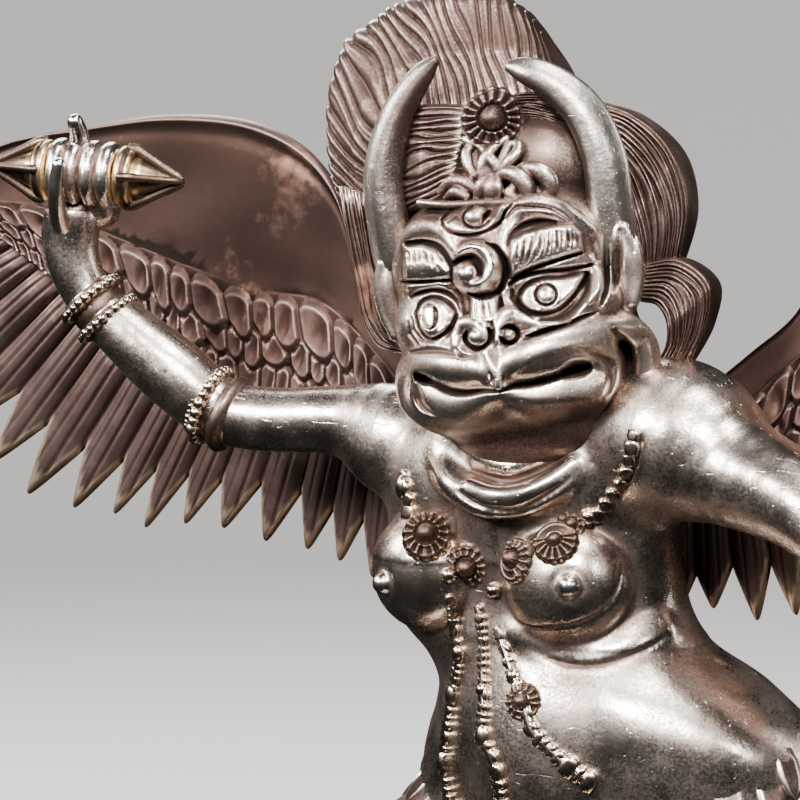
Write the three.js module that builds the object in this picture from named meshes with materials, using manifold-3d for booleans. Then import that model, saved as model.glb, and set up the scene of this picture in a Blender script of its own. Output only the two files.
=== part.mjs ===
// Garuda, the horned man-bird, cast with spread wings and a thunderbolt, on a low lotus plinth.
// Millimetres, +Z up. The figure faces -Y and its left hand is on +X.
// The origin is the centre of the plinth's underside.
import * as THREE from "three";
import { mergeVertices } from "three/addons/utils/BufferGeometryUtils.js";
import Module from "manifold-3d";

const wasm = await Module();
wasm.setup();

// Driving sizes.
const FIGURE_HEIGHT = 250; // soles to the top of the hair
const PLINTH_HEIGHT = 29;
const PLINTH_MARGIN = 13; // bare top left round the claws
const PLINTH_FOOT_FLARE = 6; // the foot's reach beyond the top
const PETALS = 16;
const PETAL_DEPTH = 3.4;
const SEAT_GAP = 0.3; // left between pieces that rest on each other
const WING_THICKNESS = 3;
const WING_FEATHERS = 16;
const FEATHER_RIDGE = 0.9; // how far a quill stands above its feather's edges
const SCALE_STEP = 1.05; // how far one row of small feathers stands above the next
const RIM_HEIGHT = 1.3; // the rolled rim along a wing's leading edge
const FINGER_THICKNESS = 3.4;
const FINGERS = 4;
const GRIP_CLEARANCE = 0.4; // round the grip in the fist's bore, and between each head and the fist
const VAJRA_GRIP_RADIUS = 3;
const VAJRA_GRIP_LENGTH = FINGERS * FINGER_THICKNESS + 2 * GRIP_CLEARANCE;
const VAJRA_HEAD_LENGTH = 12.8;
const VAJRA_HEAD_RADIUS = 6.2;
const HAIR_STRANDS = 14;
const STRAND_RELIEF = 0.9;

// The figure is laid out on a canon of 250 equal parts from the soles to the top of the hair.
// Every number in its tables is such a share of its height, and canon() turns it into millimetres.
const CANON_PARTS = 250;
const PART = FIGURE_HEIGHT / CANON_PARTS;
const canon = (rows) => rows.map((row) => row.map((value) => value * PART));

const X = new THREE.Vector3(1, 0, 0);
const Y = new THREE.Vector3(0, 1, 0);
const Z = new THREE.Vector3(0, 0, 1);
const MERGE_DISTANCE = 1e-4;

const vector = (row) => new THREE.Vector3(row[0], row[1], row[2]);
const mirrorRow = ([x, ...rest]) => [-x, ...rest];
const mix = THREE.MathUtils.lerp;

// Shape helpers.

/** A closed body through rings of equal count, with a fan over each end. */
function loft(rings) {
  const count = rings[0].length;
  const points = rings.flat();
  const index = [];
  for (let ring = 0; ring < rings.length - 1; ring++) {
    for (let i = 0; i < count; i++) {
      const a = ring * count + i;
      const b = ring * count + ((i + 1) % count);
      index.push(a, b, b + count, a, b + count, a + count);
    }
  }
  const cap = (ring, flip) => {
    const first = ring * count;
    const middle = new THREE.Vector3();
    rings[ring].forEach((point) => middle.addScaledVector(point, 1 / count));
    points.push(middle);
    for (let i = 0; i < count; i++) {
      const a = first + i;
      const b = first + ((i + 1) % count);
      index.push(...(flip ? [b, a] : [a, b]), points.length - 1);
    }
  };
  cap(0, true);
  cap(rings.length - 1, false);
  const geometry = new THREE.BufferGeometry().setFromPoints(points);
  geometry.setIndex(index);
  return geometry;
}

/** One ring: an oval of half sizes a and b, squarer as fullness goes above 2. */
function oval(centre, side, front, a, b, count, fullness = 2) {
  return Array.from({ length: count }, (_, i) => {
    const angle = (i / count) * 2 * Math.PI;
    const c = Math.cos(angle);
    const s = Math.sin(angle);
    return centre
      .clone()
      .addScaledVector(side, Math.sign(c) * Math.abs(c) ** (2 / fullness) * a)
      .addScaledVector(front, Math.sign(s) * Math.abs(s) ** (2 / fullness) * b);
  });
}

/** Values of a table at a place between its rows, by smooth curves. Its first column rises. */
function between(rows, place) {
  const last = rows.length - 1;
  const above = rows.findIndex((row) => row[0] > place);
  const i = above < 0 ? last - 1 : Math.max(above - 1, 0);
  const span = rows[i + 1][0] - rows[i][0];
  const t = THREE.MathUtils.clamp((place - rows[i][0]) / span, 0, 1);
  const slope = (j, k) => {
    const before = rows[Math.max(j - 1, 0)];
    const after = rows[Math.min(j + 1, last)];
    return (span * (after[k] - before[k])) / (after[0] - before[0]);
  };
  return rows[i].map((value, k) => {
    const next = rows[i + 1][k];
    const rise = 3 * t * t - 2 * t * t * t;
    const leave = t * t * t - 2 * t * t + t;
    const arrive = t * t * t - t * t;
    return value + (next - value) * rise + slope(i, k) * leave + slope(i + 1, k) * arrive;
  });
}

/** A limb, horn, toe or lip through rows of x, y, z and radius. */
function limb(rows, { sides = 8, steps = 8, flat = 1, across = Y, relief = () => 1 } = {}) {
  const curve = new THREE.CatmullRomCurve3(rows.map(vector), false, "centripetal");
  const radii = rows.map((row, i) => [i / (rows.length - 1), row[3]]);
  const rings = [];
  for (let step = 0; step <= steps; step++) {
    const t = step / steps;
    const heading = curve.getTangent(t);
    const side = new THREE.Vector3().crossVectors(heading, across).normalize();
    const front = new THREE.Vector3().crossVectors(side, heading).normalize();
    const radius = between(radii, t)[1];
    const centre = curve.getPoint(t);
    const ring = oval(centre, side, front, radius, radius * flat, sides);
    rings.push(ring.map((point, i) => centre.clone().lerp(point, relief(step, i))));
  }
  return loft(rings);
}

/** An egg of three half sizes, its poles along the given heading. */
function egg(centre, [a, b, c], { around = 10, rings = 6, heading = Z } = {}) {
  return new THREE.SphereGeometry(1, around, rings)
    .rotateX(Math.PI / 2)
    .scale(a, b, c)
    .applyQuaternion(new THREE.Quaternion().setFromUnitVectors(Z, heading))
    .translate(centre.x, centre.y, centre.z);
}

/** A turned body: a profile of radius and height that starts and ends on its axis. */
function turned(profile, centre, heading, segments = 12) {
  const points = profile.map(([radius, height]) => new THREE.Vector2(radius, height));
  return new THREE.LatheGeometry(points, segments)
    .applyQuaternion(new THREE.Quaternion().setFromUnitVectors(Y, heading))
    .translate(centre.x, centre.y, centre.z);
}

/** The closed solid of a geometry, whichever way round its faces were made. */
function solidOf(geometry) {
  const bare = new THREE.BufferGeometry();
  bare.setAttribute("position", geometry.getAttribute("position"));
  bare.setIndex(geometry.index);
  const merged = mergeVertices(bare, MERGE_DISTANCE);
  const corners = merged.index.array;
  const at = (i) => new THREE.Vector3().fromBufferAttribute(merged.attributes.position, i);
  const faces = [];
  let volume = 0;
  for (let i = 0; i < corners.length; i += 3) {
    const [a, b, c] = corners.slice(i, i + 3);
    if (a !== b && b !== c && c !== a) faces.push([a, b, c]);
    volume += at(a).dot(at(b).cross(at(c)));
  }
  const outward = volume < 0 ? faces.map((face) => face.reverse()) : faces;
  const triVerts = new Uint32Array(outward.flat());
  const vertProperties = merged.attributes.position.array;
  return new wasm.Manifold(new wasm.Mesh({ numProp: 3, vertProperties, triVerts }));
}

const join = (geometries) => geometries.map(solidOf).reduce((all, next) => all.add(next));

/** A named mesh of a joined or cut solid. */
function meshOf(name, solid, material) {
  const { vertProperties, triVerts } = solid.getMesh();
  const geometry = new THREE.BufferGeometry();
  geometry.setAttribute("position", new THREE.BufferAttribute(vertProperties, 3));
  geometry.setIndex(new THREE.BufferAttribute(triVerts, 1));
  geometry.computeVertexNormals();
  const mesh = new THREE.Mesh(geometry, material);
  mesh.name = name;
  return mesh;
}

// Torso. It leans on its left hip, so the centre of each level moves across.

// Height, half width, half depth, centre across, centre back.
const TORSO = canon([
  [73, 15, 12, 15, 9],
  [79, 28, 20, 15, 10],
  [86, 37, 25, 15.5, 11.5],
  [94, 41, 27.5, 16, 12],
  [101, 41, 27, 16, 11],
  [107, 39.5, 26, 16.3, 9.8],
  [112, 36.5, 25, 15.5, 8.5],
  [117, 33, 23.6, 13, 7.5],
  [122, 30.6, 21.4, 8.3, 6.5],
  [127, 30.4, 19.4, 3, 5.6],
  [133, 30.4, 18, 0, 4.8],
  [141, 29.5, 17.5, 0, 3.5],
  [148, 29.5, 17.5, 0, 2.5],
  [156, 28, 16.5, 0, 0.5],
  [163, 23, 14, 0, -1],
  [169, 16, 12, 1, -3],
  [175, 12, 10, 1.5, -5],
]);
const TORSO_FULLNESS = 2.25;
const TORSO_RINGS = 15;
const TORSO_SIDES = 16;

/** A point on the torso's front, standing out by the given height. */
function onChest(x, z, height = 0) {
  const [, a, b, across, back] = between(TORSO, z);
  const share = Math.min(Math.abs((x - across) / a), 0.97);
  const depth = b * (1 - share ** TORSO_FULLNESS) ** (1 / TORSO_FULLNESS);
  return new THREE.Vector3(x, back - depth - height, z);
}

/** The way the torso's front faces at a point. */
function chestNormal(x, z) {
  const reach = PART;
  const across = onChest(x + reach, z).sub(onChest(x - reach, z));
  const up = onChest(x, z + reach).sub(onChest(x, z - reach));
  return across.cross(up).normalize();
}

/** The trunk, or the same form grown by the gap that a piece seated on it keeps. */
function torso(growth = 0) {
  const [low, high] = [TORSO[0][0], TORSO[TORSO.length - 1][0]];
  const rings = [];
  for (let ring = 0; ring < TORSO_RINGS; ring++) {
    const [z, a, b, x, y] = between(TORSO, mix(low, high, ring / (TORSO_RINGS - 1)));
    const centre = new THREE.Vector3(x, y, z);
    rings.push(oval(centre, X, Y, a + growth, b + growth, TORSO_SIDES, TORSO_FULLNESS));
  }
  return loft(rings);
}

const BREAST_FLATNESS = 0.72;

function breasts() {
  // Across, back, height, radius, nipple, and how far each turns outwards.
  const rows = canon([
    [-16.5, -9.6, 138.5, 11.4, 1.7, -0.34],
    [14.2, -10.2, 138.5, 11.4, 1.7, 0.24],
  ]);
  return rows.flatMap(([x, y, z, radius, nipple, turn]) => {
    const heading = new THREE.Vector3(turn / PART, -1, 0).normalize();
    const centre = new THREE.Vector3(x, y, z);
    const tip = centre.clone().addScaledVector(heading, radius * BREAST_FLATNESS);
    const sizes = [radius, radius, radius * BREAST_FLATNESS];
    return [
      egg(centre, sizes, { around: 9, rings: 5, heading }),
      egg(tip, [nipple, nipple, nipple], { around: 6, rings: 3 }),
    ];
  });
}

/** The heavy fold of skin that hangs round the throat like a shallow bowl. */
function throatFold() {
  const fold = canon([
    [-14, -8, 163, 2.4],
    [-7, -16.5, 156, 2.9],
    [3, -19.4, 153.2, 3.1],
    [13, -15.5, 156, 2.9],
    [21, -7, 164, 2.4],
  ]);
  return limb(fold, { sides: 5, steps: 7 });
}

// Head, in a frame of its own that is turned to the left and leans to the right.

const HEAD_AT = canon([[0.8, -6.2, 190.3]])[0];
const HEAD_TURN = THREE.MathUtils.degToRad(10);
const HEAD_LEAN = THREE.MathUtils.degToRad(-8.5);
const HEAD_FRAME = new THREE.Matrix4()
  .makeTranslation(...HEAD_AT)
  .multiply(new THREE.Matrix4().makeRotationZ(HEAD_TURN))
  .multiply(new THREE.Matrix4().makeRotationY(HEAD_LEAN));
const placeHead = (geometry) => geometry.applyMatrix4(HEAD_FRAME);

// Height, half width, half depth, centre across, centre back.
const HEAD = canon([
  [-25, 11, 9, 0, -3],
  [-22, 18, 15.5, 0, -2],
  [-17, 22.5, 19.5, 0, -0.5],
  [-11, 23.3, 20, 0, 0],
  [-5, 22, 19, 0, 0],
  [1, 22, 17.5, 0, 0.5],
  [8, 22.3, 18.5, 0, 0.5],
  [14, 21, 17.5, 0, 1.5],
  [19, 17, 14, 0, 2.5],
  [23, 9, 8, 0, 4],
]);
const HEAD_FULLNESS = 2.3;
const HEAD_RINGS = 9;
const HEAD_SIDES = 16;

function skull() {
  const [low, high] = [HEAD[0][0], HEAD[HEAD.length - 1][0]];
  const rings = [];
  for (let ring = 0; ring < HEAD_RINGS; ring++) {
    const [z, a, b, x, y] = between(HEAD, mix(low, high, ring / (HEAD_RINGS - 1)));
    rings.push(oval(new THREE.Vector3(x, y, z), X, Y, a, b, HEAD_SIDES, HEAD_FULLNESS));
  }
  const [crown] = canon([[2, 8, 24, 16, 13, 14]]);
  return [loft(rings), egg(vector(crown), crown.slice(3), { around: 8, rings: 5 })];
}

/** The same form on both sides of the face, about a line that may lie off its middle. */
function bothSides(rows, make, sway = 0) {
  const shift = (row) => [row[0] + sway, ...row.slice(1)];
  return [make(rows.map(shift)), make(rows.map(mirrorRow).map(shift))];
}

const MUZZLE_SWAY = PART; // the beak points a little to the figure's left

function mouth() {
  const upperLip = canon([
    [0, -24, -16, 1.5],
    [2.5, -23.6, -12.6, 3.2],
    [10, -20.8, -11, 3.8],
    [17, -15, -9.6, 4],
    [22.2, -8, -9.4, 3.6],
    [24, -4.5, -14, 3],
    [21.6, -4, -21, 2.2],
  ]);
  const lowerLip = canon([
    [0, -20.8, -18.4, 2.3],
    [8, -19.4, -17.4, 2.4],
    [14.5, -15.4, -17.6, 2.4],
    [18, -10, -18.6, 1.8],
  ]);
  const [jaw, muzzle, pouch] = canon([
    [0.5, -5.5, -17.5, 20.5, 15, 7.5],
    [0.5, -9.5, -8.5, 16, 12, 6],
    [2, -3.5, -23.5, 18.5, 15, 10],
  ]);
  return [
    ...bothSides(upperLip, (rows) => limb(rows, { sides: 6, steps: 8 }), MUZZLE_SWAY),
    ...bothSides(lowerLip, (rows) => limb(rows, { sides: 4, steps: 4, across: Z }), MUZZLE_SWAY),
    egg(vector(jaw), jaw.slice(3), { around: 10, rings: 4 }),
    egg(vector(muzzle), muzzle.slice(3), { around: 8, rings: 4 }),
    egg(vector(pouch), pouch.slice(3), { around: 10, rings: 5 }),
  ];
}

function nose() {
  const bridge = canon([
    [0, -18.5, 3, 2.2],
    [0, -19.6, -1, 2.7],
    [0.6, -20.6, -4.5, 3],
    [1.2, -21.4, -8.5, 2.4],
  ]);
  const nostril = canon([
    [1, -22.2, -7.4, 1.3],
    [2.8, -22.4, -5.2, 2.2],
    [6, -20.2, -5.4, 1.6],
    [12, -17.2, -5, 0.9],
  ]);
  return [
    limb(bridge, { sides: 6, steps: 4 }),
    ...bothSides(nostril, (rows) => limb(rows, { sides: 4, steps: 4, across: Z }), MUZZLE_SWAY),
  ];
}

function eyes() {
  const [ball, pupil, thirdEye] = canon([
    [11.6, -14.2, 0, 5.8, 4.6, 3.6],
    [11.9, -18.4, 0.1, 2.1, 1, 2.1],
    [-0.3, -13.6, 15.8, 6.4, 4, 3],
  ]);
  const brow = canon([
    [5.4, -18.4, 6, 2],
    [9, -17.8, 8, 3],
    [13.6, -15.6, 9.2, 3.2],
    [18, -12, 9, 2.4],
  ]);
  return [
    ...bothSides([ball], ([row]) => egg(vector(row), row.slice(3), { around: 8, rings: 5 })),
    ...bothSides([pupil], ([row]) => egg(vector(row), row.slice(3), { around: 6, rings: 3 })),
    ...bothSides(brow, (rows) => limb(rows, { sides: 5, steps: 4, flat: 0.55 })),
    egg(vector(thirdEye), thirdEye.slice(3), { around: 8, rings: 4 }),
  ];
}

/** The curl between the brows: a spiral that closes on a small ball. */
function curl() {
  const [[outer, inner, tube, depth, height]] = canon([[3.5, 1, 1.5, -18.6, 6.4]]);
  const turns = 1.25;
  const steps = 8;
  const rows = [];
  for (let step = 0; step <= steps; step++) {
    const angle = Math.PI + (step / steps) * turns * 2 * Math.PI;
    const radius = mix(outer, inner, step / steps);
    rows.push([radius * Math.cos(angle), depth, height - radius * Math.sin(angle), tube]);
  }
  return limb(rows, { sides: 4, steps });
}

function ears() {
  const rows = canon([[22.6, -3.5, 5, 2.8, 4.2, 7.6]]);
  return bothSides(rows, ([row]) => egg(vector(row), row.slice(3), { around: 6, rings: 5 }));
}

function horns() {
  const left = canon([
    [21.4, -3.5, 7, 4.8],
    [22.6, -5, 16, 4.6],
    [22.8, -5.6, 24, 4.3],
    [19.6, -6, 33, 3.8],
    [14, -6.8, 38.8, 3],
    [7, -7.4, 42.8, 1.5],
  ]);
  const right = canon([
    [-21, -3.5, 8, 4.8],
    [-21.4, -5, 17, 4.6],
    [-20.8, -5.6, 27, 4.2],
    [-16.8, -6, 36.5, 3.6],
    [-12, -6.8, 42, 2.8],
    [-6.5, -7.4, 46.3, 1.4],
  ]);
  const broadside = new THREE.Vector3(0.5, -0.87, 0);
  const shape = { sides: 7, steps: 7, flat: 0.72 };
  return [
    limb(left, { ...shape, across: broadside }),
    limb(right, { ...shape, across: broadside.clone().reflect(X) }),
  ];
}

/** The jewel over the forehead, on its stem, with ribbon leaves and the diadem's scrolls. */
function diadem() {
  const [stem, rosette, scroll, leaf] = [
    [
      [0, -9, 20, 3.2],
      [0, -6.5, 26, 2.2],
      [0, -4, 31, 2.6],
    ],
    [[0, -2.5, 36, 5.6]],
    [
      [4, -14, 20, 2],
      [9, -12.8, 22, 2.4],
      [14.5, -9, 21, 2],
      [18, -5.5, 18, 1.4],
    ],
    [
      [1, -6, 29, 1.6],
      [5.6, -6, 27, 2.2],
      [7.5, -6, 23, 2],
      [4.5, -8, 18.5, 1.8],
    ],
  ].map(canon);
  const [x, y, z, radius] = rosette[0];
  const jewel = [
    [0, -0.5],
    [1, -0.5],
    [1, -0.1],
    [0.68, 0.05],
    [0.62, 0.25],
    [0.4, 0.5],
    [0, 0.58],
  ].map(([r, h]) => [r * radius, h * radius]);
  return [
    limb(stem, { sides: 6, steps: 3 }),
    turned(jewel, new THREE.Vector3(x, y, z), Y.clone().negate(), 8),
    ...bothSides(scroll, (rows) => limb(rows, { sides: 4, steps: 4 })),
    ...bothSides(leaf, (rows) => limb(rows, { sides: 4, steps: 4 })),
  ];
}

// Hair: a fan of combed strands that stands up behind the horns and sweeps to the right.

const HAIR_ROOT = canon([
  [-19, 2, -8],
  [-20, 4, 2],
  [-18, 5, 14],
  [-9, 5, 22],
  [3, 5, 24],
  [13, 5, 20],
  [18, 4, 10],
  [19, 3, -2],
  [18, 2, -12],
]);
const HAIR_EDGE = canon([
  [-27, 7, -9],
  [-31.5, 7, -4.6],
  [-35, 8, 6.7],
  [-37.7, 9, 24.8],
  [-36.6, 9, 35],
  [-30.5, 10, 51.2],
  [-18.3, 10, 58.8],
  [-4, 10, 59.5],
  [5.8, 10, 56.5],
  [10, 10, 46.2],
  [14, 10, 37],
  [18.7, 9, 33],
  [24.7, 9, 31.7],
  [31, 8, 27],
  [34.5, 7, 18.5],
  [33.5, 7, 7.4],
  [31, 6, 2.8],
  [36.4, 5, -3.2],
  [35, 5, -9],
  [31, 4, -15],
  [24, 3, -15],
]);
// Share of the way out, half thickness, sideways bend of a strand.
const HAIR_PROFILE = canon([
  [0, 8, 0],
  [0.55, 8, 2.2],
  [1, 2.8, 0],
]).map(([share, half, bend]) => [share / PART, half, bend]);

function hair() {
  const root = new THREE.CatmullRomCurve3(HAIR_ROOT.map(vector), false, "centripetal");
  const edge = new THREE.CatmullRomCurve3(HAIR_EDGE.map(vector), false, "centripetal");
  const columns = HAIR_STRANDS * 2;
  const rings = [];
  for (let column = 0; column <= columns; column++) {
    const t = column / columns;
    const ridge = column % 2 === 1 ? STRAND_RELIEF : -STRAND_RELIEF;
    const inner = root.getPointAt(t);
    const outer = edge.getPointAt(t);
    const outward = outer.clone().sub(inner).normalize();
    const sideways = new THREE.Vector3().crossVectors(Y, outward).normalize();
    const spine = HAIR_PROFILE.map(([share, half, bend]) => ({
      centre: inner
        .clone()
        .lerp(outer, share)
        .addScaledVector(sideways, bend)
        .addScaledVector(outward, share * ridge),
      half: half + share * ridge,
    }));
    const front = spine.map(({ centre, half }) => centre.clone().addScaledVector(Y, -half));
    const back = spine.map(({ centre, half }) => centre.clone().addScaledVector(Y, half));
    rings.push([...front, ...back.reverse()]);
  }
  return loft(rings);
}

// Arms and hands.

const RIGHT_ARM = canon([
  [-17, 1, 160, 10],
  [-28, 1, 164.5, 8.6],
  [-43.5, -1, 165.8, 6.5],
  [-56, -3, 165.5, 6.2],
  [-67, -4, 167, 6.4],
  [-76, -7, 174, 7],
  [-86, -10, 182.5, 6],
  [-93.5, -12, 189.5, 4.9],
  [-97, -13.5, 198, 5.2],
  [-96.5, -14, 206, 5.6],
]);
const LEFT_ARM = canon([
  [16, 1, 161, 13],
  [31, -1, 166, 13.6],
  [44, -4.5, 160.5, 10.2],
  [59, -10, 155.8, 8.2],
  [74, -16, 149.5, 7.2],
  [82, -19.5, 157, 7.4],
  [89, -23, 167, 6.2],
  [93, -25, 175, 5.2],
  [95, -26, 183, 5.4],
  [94.5, -26, 191, 5.4],
]);
const RIGHT_FIST = vector(canon([[-91.4, -16, 214.6]])[0]);
const LEFT_FIST = vector(canon([[91, -28.5, 197]])[0]);
const GRIP_HEADING = new THREE.Vector3(0.947, 0.309, -0.086).normalize();
const BORE_RADIUS = VAJRA_GRIP_RADIUS + GRIP_CLEARANCE;
const FINGER_GROOVE = 0.28; // a groove's depth as a share of a finger
const BAND_SWELL = 1.15; // a band's two raised rings beyond its valleys
const LEFT_ARMLET_SIZE = 1.15; // beside the right arm's


/** Fingers rolled round an axis, as one ribbed drum. */
function fingers(centre, heading) {
  const width = FINGERS * FINGER_THICKNESS;
  const crown = BORE_RADIUS + FINGER_THICKNESS;
  const valley = crown - FINGER_THICKNESS * FINGER_GROOVE;
  const profile = [
    [0, -width / 2],
    [valley, -width / 2],
  ];
  for (let finger = 0; finger < FINGERS; finger++) {
    const start = (finger - FINGERS / 2) * FINGER_THICKNESS;
    profile.push([crown, start + FINGER_THICKNESS / 2]);
    profile.push([valley, start + FINGER_THICKNESS]);
  }
  profile.push([0, width / 2]);
  return turned(profile, centre, heading, 8);
}

function thumb(centre, heading, side) {
  const around = new THREE.Vector3().crossVectors(heading, Z).normalize();
  const reach = BORE_RADIUS + FINGER_THICKNESS;
  const rows = [
    [-0.2, -0.2, -2.4, 0.62],
    [-0.5, 0.9, -1.2, 0.66],
    [-0.4, 1.15, -0.1, 0.58],
    [0.1, 1.1, 0.7, 0.34],
  ].map(([along, out, up, radius]) => {
    const point = centre
      .clone()
      .addScaledVector(heading, side * along * reach)
      .addScaledVector(around, out * reach)
      .addScaledVector(Z, up * reach);
    return [point.x, point.y, point.z, radius * FINGER_THICKNESS];
  });
  return limb(rows, { sides: 5, steps: 3, across: heading });
}

/** A band with raised rings, such as a bracelet, an armlet or an anklet. */
function band(arm, share, radius, width) {
  const curve = new THREE.CatmullRomCurve3(arm.map(vector), false, "centripetal");
  const rows = [-0.5, -0.28, 0, 0.28, 0.5];
  const ring = rows.map((height, i) => [i % 2 ? radius * BAND_SWELL : radius, height * width]);
  const profile = [[0, -width / 2], ...ring, [0, width / 2]];
  return turned(profile, curve.getPoint(share), curve.getTangent(share), 9);
}

function arms() {
  const [[wrist, elbow, wristWidth, elbowWidth]] = canon([[6.2, 7.2, 6.4, 6.8]]);
  return [
    limb(RIGHT_ARM, { sides: 8, steps: 13 }),
    limb(LEFT_ARM, { sides: 8, steps: 12 }),
    band(RIGHT_ARM, 0.745, wrist, wristWidth),
    band(RIGHT_ARM, 0.445, elbow, elbowWidth),
    band(LEFT_ARM, 0.745, wrist, wristWidth),
    band(LEFT_ARM, 0.47, elbow * LEFT_ARMLET_SIZE, elbowWidth),
    fingers(RIGHT_FIST, GRIP_HEADING),
    fingers(LEFT_FIST, GRIP_HEADING.clone().reflect(X).negate()),
    thumb(RIGHT_FIST, GRIP_HEADING, 1),
    thumb(LEFT_FIST, GRIP_HEADING.clone().reflect(X).negate(), -1),
  ];
}

// Necklace: a collar of beads and rosettes, with three strands that hang to the belly.

function beadOnChest([x, z, radius]) {
  const heading = chestNormal(x, z);
  return egg(onChest(x, z), [radius, radius, radius], { around: 6, rings: 3, heading });
}

function rosetteOnChest([x, z, radius]) {
  const profile = [
    [0, -0.5],
    [1, -0.5],
    [1, 0.16],
    [0.6, 0.24],
    [0.52, 0.5],
    [0.3, 0.72],
    [0, 0.78],
  ].map(([r, h]) => [r * radius, h * radius]);
  return turned(profile, onChest(x, z), chestNormal(x, z), 6);
}

const STRAND_LIFT = 0.45; // how far a strand's middle stands out, as a share of its radius
const CORD_SHARE = 0.55; // the cord between two beads beside the beads

/** A strand of beads laid down the chest, as a cord that swells at each bead. */
function strand(rows, beads) {
  const path = rows.map(([x, z, radius]) => {
    const point = onChest(x, z, radius * STRAND_LIFT);
    return [point.x, point.y, point.z, radius];
  });
  const relief = (step) => (step % 2 ? 1 : CORD_SHARE);
  return limb(path, { sides: 4, steps: beads * 2, relief });
}

function necklace() {
  const beads = canon([
    [-22.5, 156.5, 2.6],
    [-19.5, 150.5, 2.8],
    [21, 153, 2.6],
    [21.8, 158.5, 2.6],
  ]);
  const rosettes = canon([
    [-13.2, 146.2, 4.8],
    [-3, 142, 4.2],
    [6, 142.5, 4.2],
    [12.6, 145.8, 4.8],
    [18, 149, 3.6],
  ]);
  const strands = [
    [
      [-5.8, 139, 1.9],
      [-5.8, 134, 1.9],
      [-7.3, 117.5, 2.2],
      [-8.2, 108, 1.9],
      [-8.6, 98, 2.5],
    ],
    [
      [-1, 138, 1.9],
      [-0.4, 128, 1.9],
      [0, 118, 2.1],
      [1.6, 106, 2.1],
      [3, 94, 2.4],
    ],
    [
      [2.4, 138, 1.9],
      [5.4, 126, 2.1],
      [9, 117.5, 3],
      [13, 111.6, 2.2],
      [18.6, 107.4, 2.4],
      [25, 104, 2.3],
    ],
  ];
  return [
    ...beads.map(beadOnChest),
    ...rosettes.map(rosetteOnChest),
    ...strands.map((rows, i) => strand(canon(rows), i === 2 ? 7 : 6)),
  ];
}

// Legs: feathered thighs, scaled shanks and feet with three claws forward and one back.

const LEGS = [
  {
    thigh: [
      [35, 12, 110, 12],
      [40, 10, 96, 17],
      [49, 2, 78, 16.5],
      [55, -5, 62, 11.5],
      [55.5, -3, 52, 8],
    ],
    shank: [
      [55, -4, 60, 7],
      [51, 0, 42, 5.6],
      [47, 4, 24, 4.8],
      [45, 5, 8, 6.2],
    ],
    foot: [45, 4],
    turn: 0.3,
  },
  {
    thigh: [
      [1, 12, 105, 10],
      [-6, 10, 91, 16],
      [-21, 3, 75, 16.5],
      [-35, -6, 60, 11.5],
      [-38, -5, 50, 8],
    ],
    shank: [
      [-39.5, -6, 58, 7],
      [-37, -1, 41, 5.6],
      [-34.5, 4, 24, 4.8],
      [-34, 5, 8, 6.2],
    ],
    foot: [-34, 4],
    turn: -0.3,
  },
];
// Toes about the foot's centre: heading in turns of a circle from straight ahead, and length.
const TOES = [
  [-0.11, 21],
  [0, 25],
  [0.11, 21],
  [0.5, 15],
];
const FEATHER_SCALE_RELIEF = 0.075;
const SHANK_RELIEF = 0.08;

function toe([x, y], turn, length) {
  const heading = [Math.sin(turn), -Math.cos(turn)];
  const rows = [
    [0, 5, 4.4],
    [0.42, 4.6, 3.3],
    [0.68, 4.8, 3.2],
    [0.86, 4, 2.2],
    [1.04, 1, 0.7],
  ].map(([share, z, radius]) => [
    x + heading[0] * share * length,
    y + heading[1] * share * length,
    z,
    radius,
  ]);
  return limb(canon(rows), { sides: 4, steps: 4, across: Z });
}

/** The joint that the toes spread from. */
function instep([x, y]) {
  const [row] = canon([[x, y, 5, 6.4, 6.4, 5.6]]);
  return egg(vector(row), row.slice(3), { around: 6, rings: 4 });
}

function leg({ thigh, shank, foot, turn }) {
  const scales = (step, side) => {
    const raised = (step + side) % 2 === 0;
    return step === 0 ? 1 : 1 + (raised ? FEATHER_SCALE_RELIEF : -FEATHER_SCALE_RELIEF / 2);
  };
  const rings = (step) => (step % 2 ? 1 + SHANK_RELIEF : 1);
  return [
    limb(canon(thigh), { sides: 8, steps: 8, relief: scales }),
    limb(canon(shank), { sides: 6, steps: 6, relief: rings }),
    instep(foot),
    ...TOES.map(([share, length]) => toe(foot, turn + share * 2 * Math.PI, length)),
  ];
}

/** The short apron of feathers between the thighs. */
function apron() {
  const leaves = [
    [14, -12.5, 80, 6.6],
    [5, -11, 83, 5.2],
    [23, -11, 83, 5.2],
  ];
  return canon(leaves).map(([x, y, z, size]) =>
    egg(new THREE.Vector3(x, y, z), [size, size * 0.75, size * 1.9], { around: 5, rings: 3 }),
  );
}

function figure() {
  const head = [
    ...skull(),
    ...mouth(),
    ...nose(),
    ...eyes(),
    curl(),
    ...ears(),
    ...horns(),
    ...diadem(),
    hair(),
  ].map(placeHead);
  const body = [torso(), ...breasts(), throatFold(), ...arms(), ...necklace(), ...apron()];
  const whole = join([...body, ...LEGS.flatMap(leg), ...head]);
  const reach = VAJRA_GRIP_LENGTH + VAJRA_HEAD_LENGTH;
  const bore = new THREE.CylinderGeometry(BORE_RADIUS, BORE_RADIUS, reach, 16)
    .applyQuaternion(new THREE.Quaternion().setFromUnitVectors(Y, GRIP_HEADING))
    .translate(...RIGHT_FIST);
  const underSoles = new THREE.BoxGeometry(FIGURE_HEIGHT, FIGURE_HEIGHT, PLINTH_HEIGHT);
  underSoles.translate(0, 0, -PLINTH_HEIGHT / 2);
  return whole.subtract(solidOf(bore)).subtract(solidOf(underSoles));
}

// Wings. Each is one plate whose columns run down the quills, from the rim to the feathers' tips.

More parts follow.
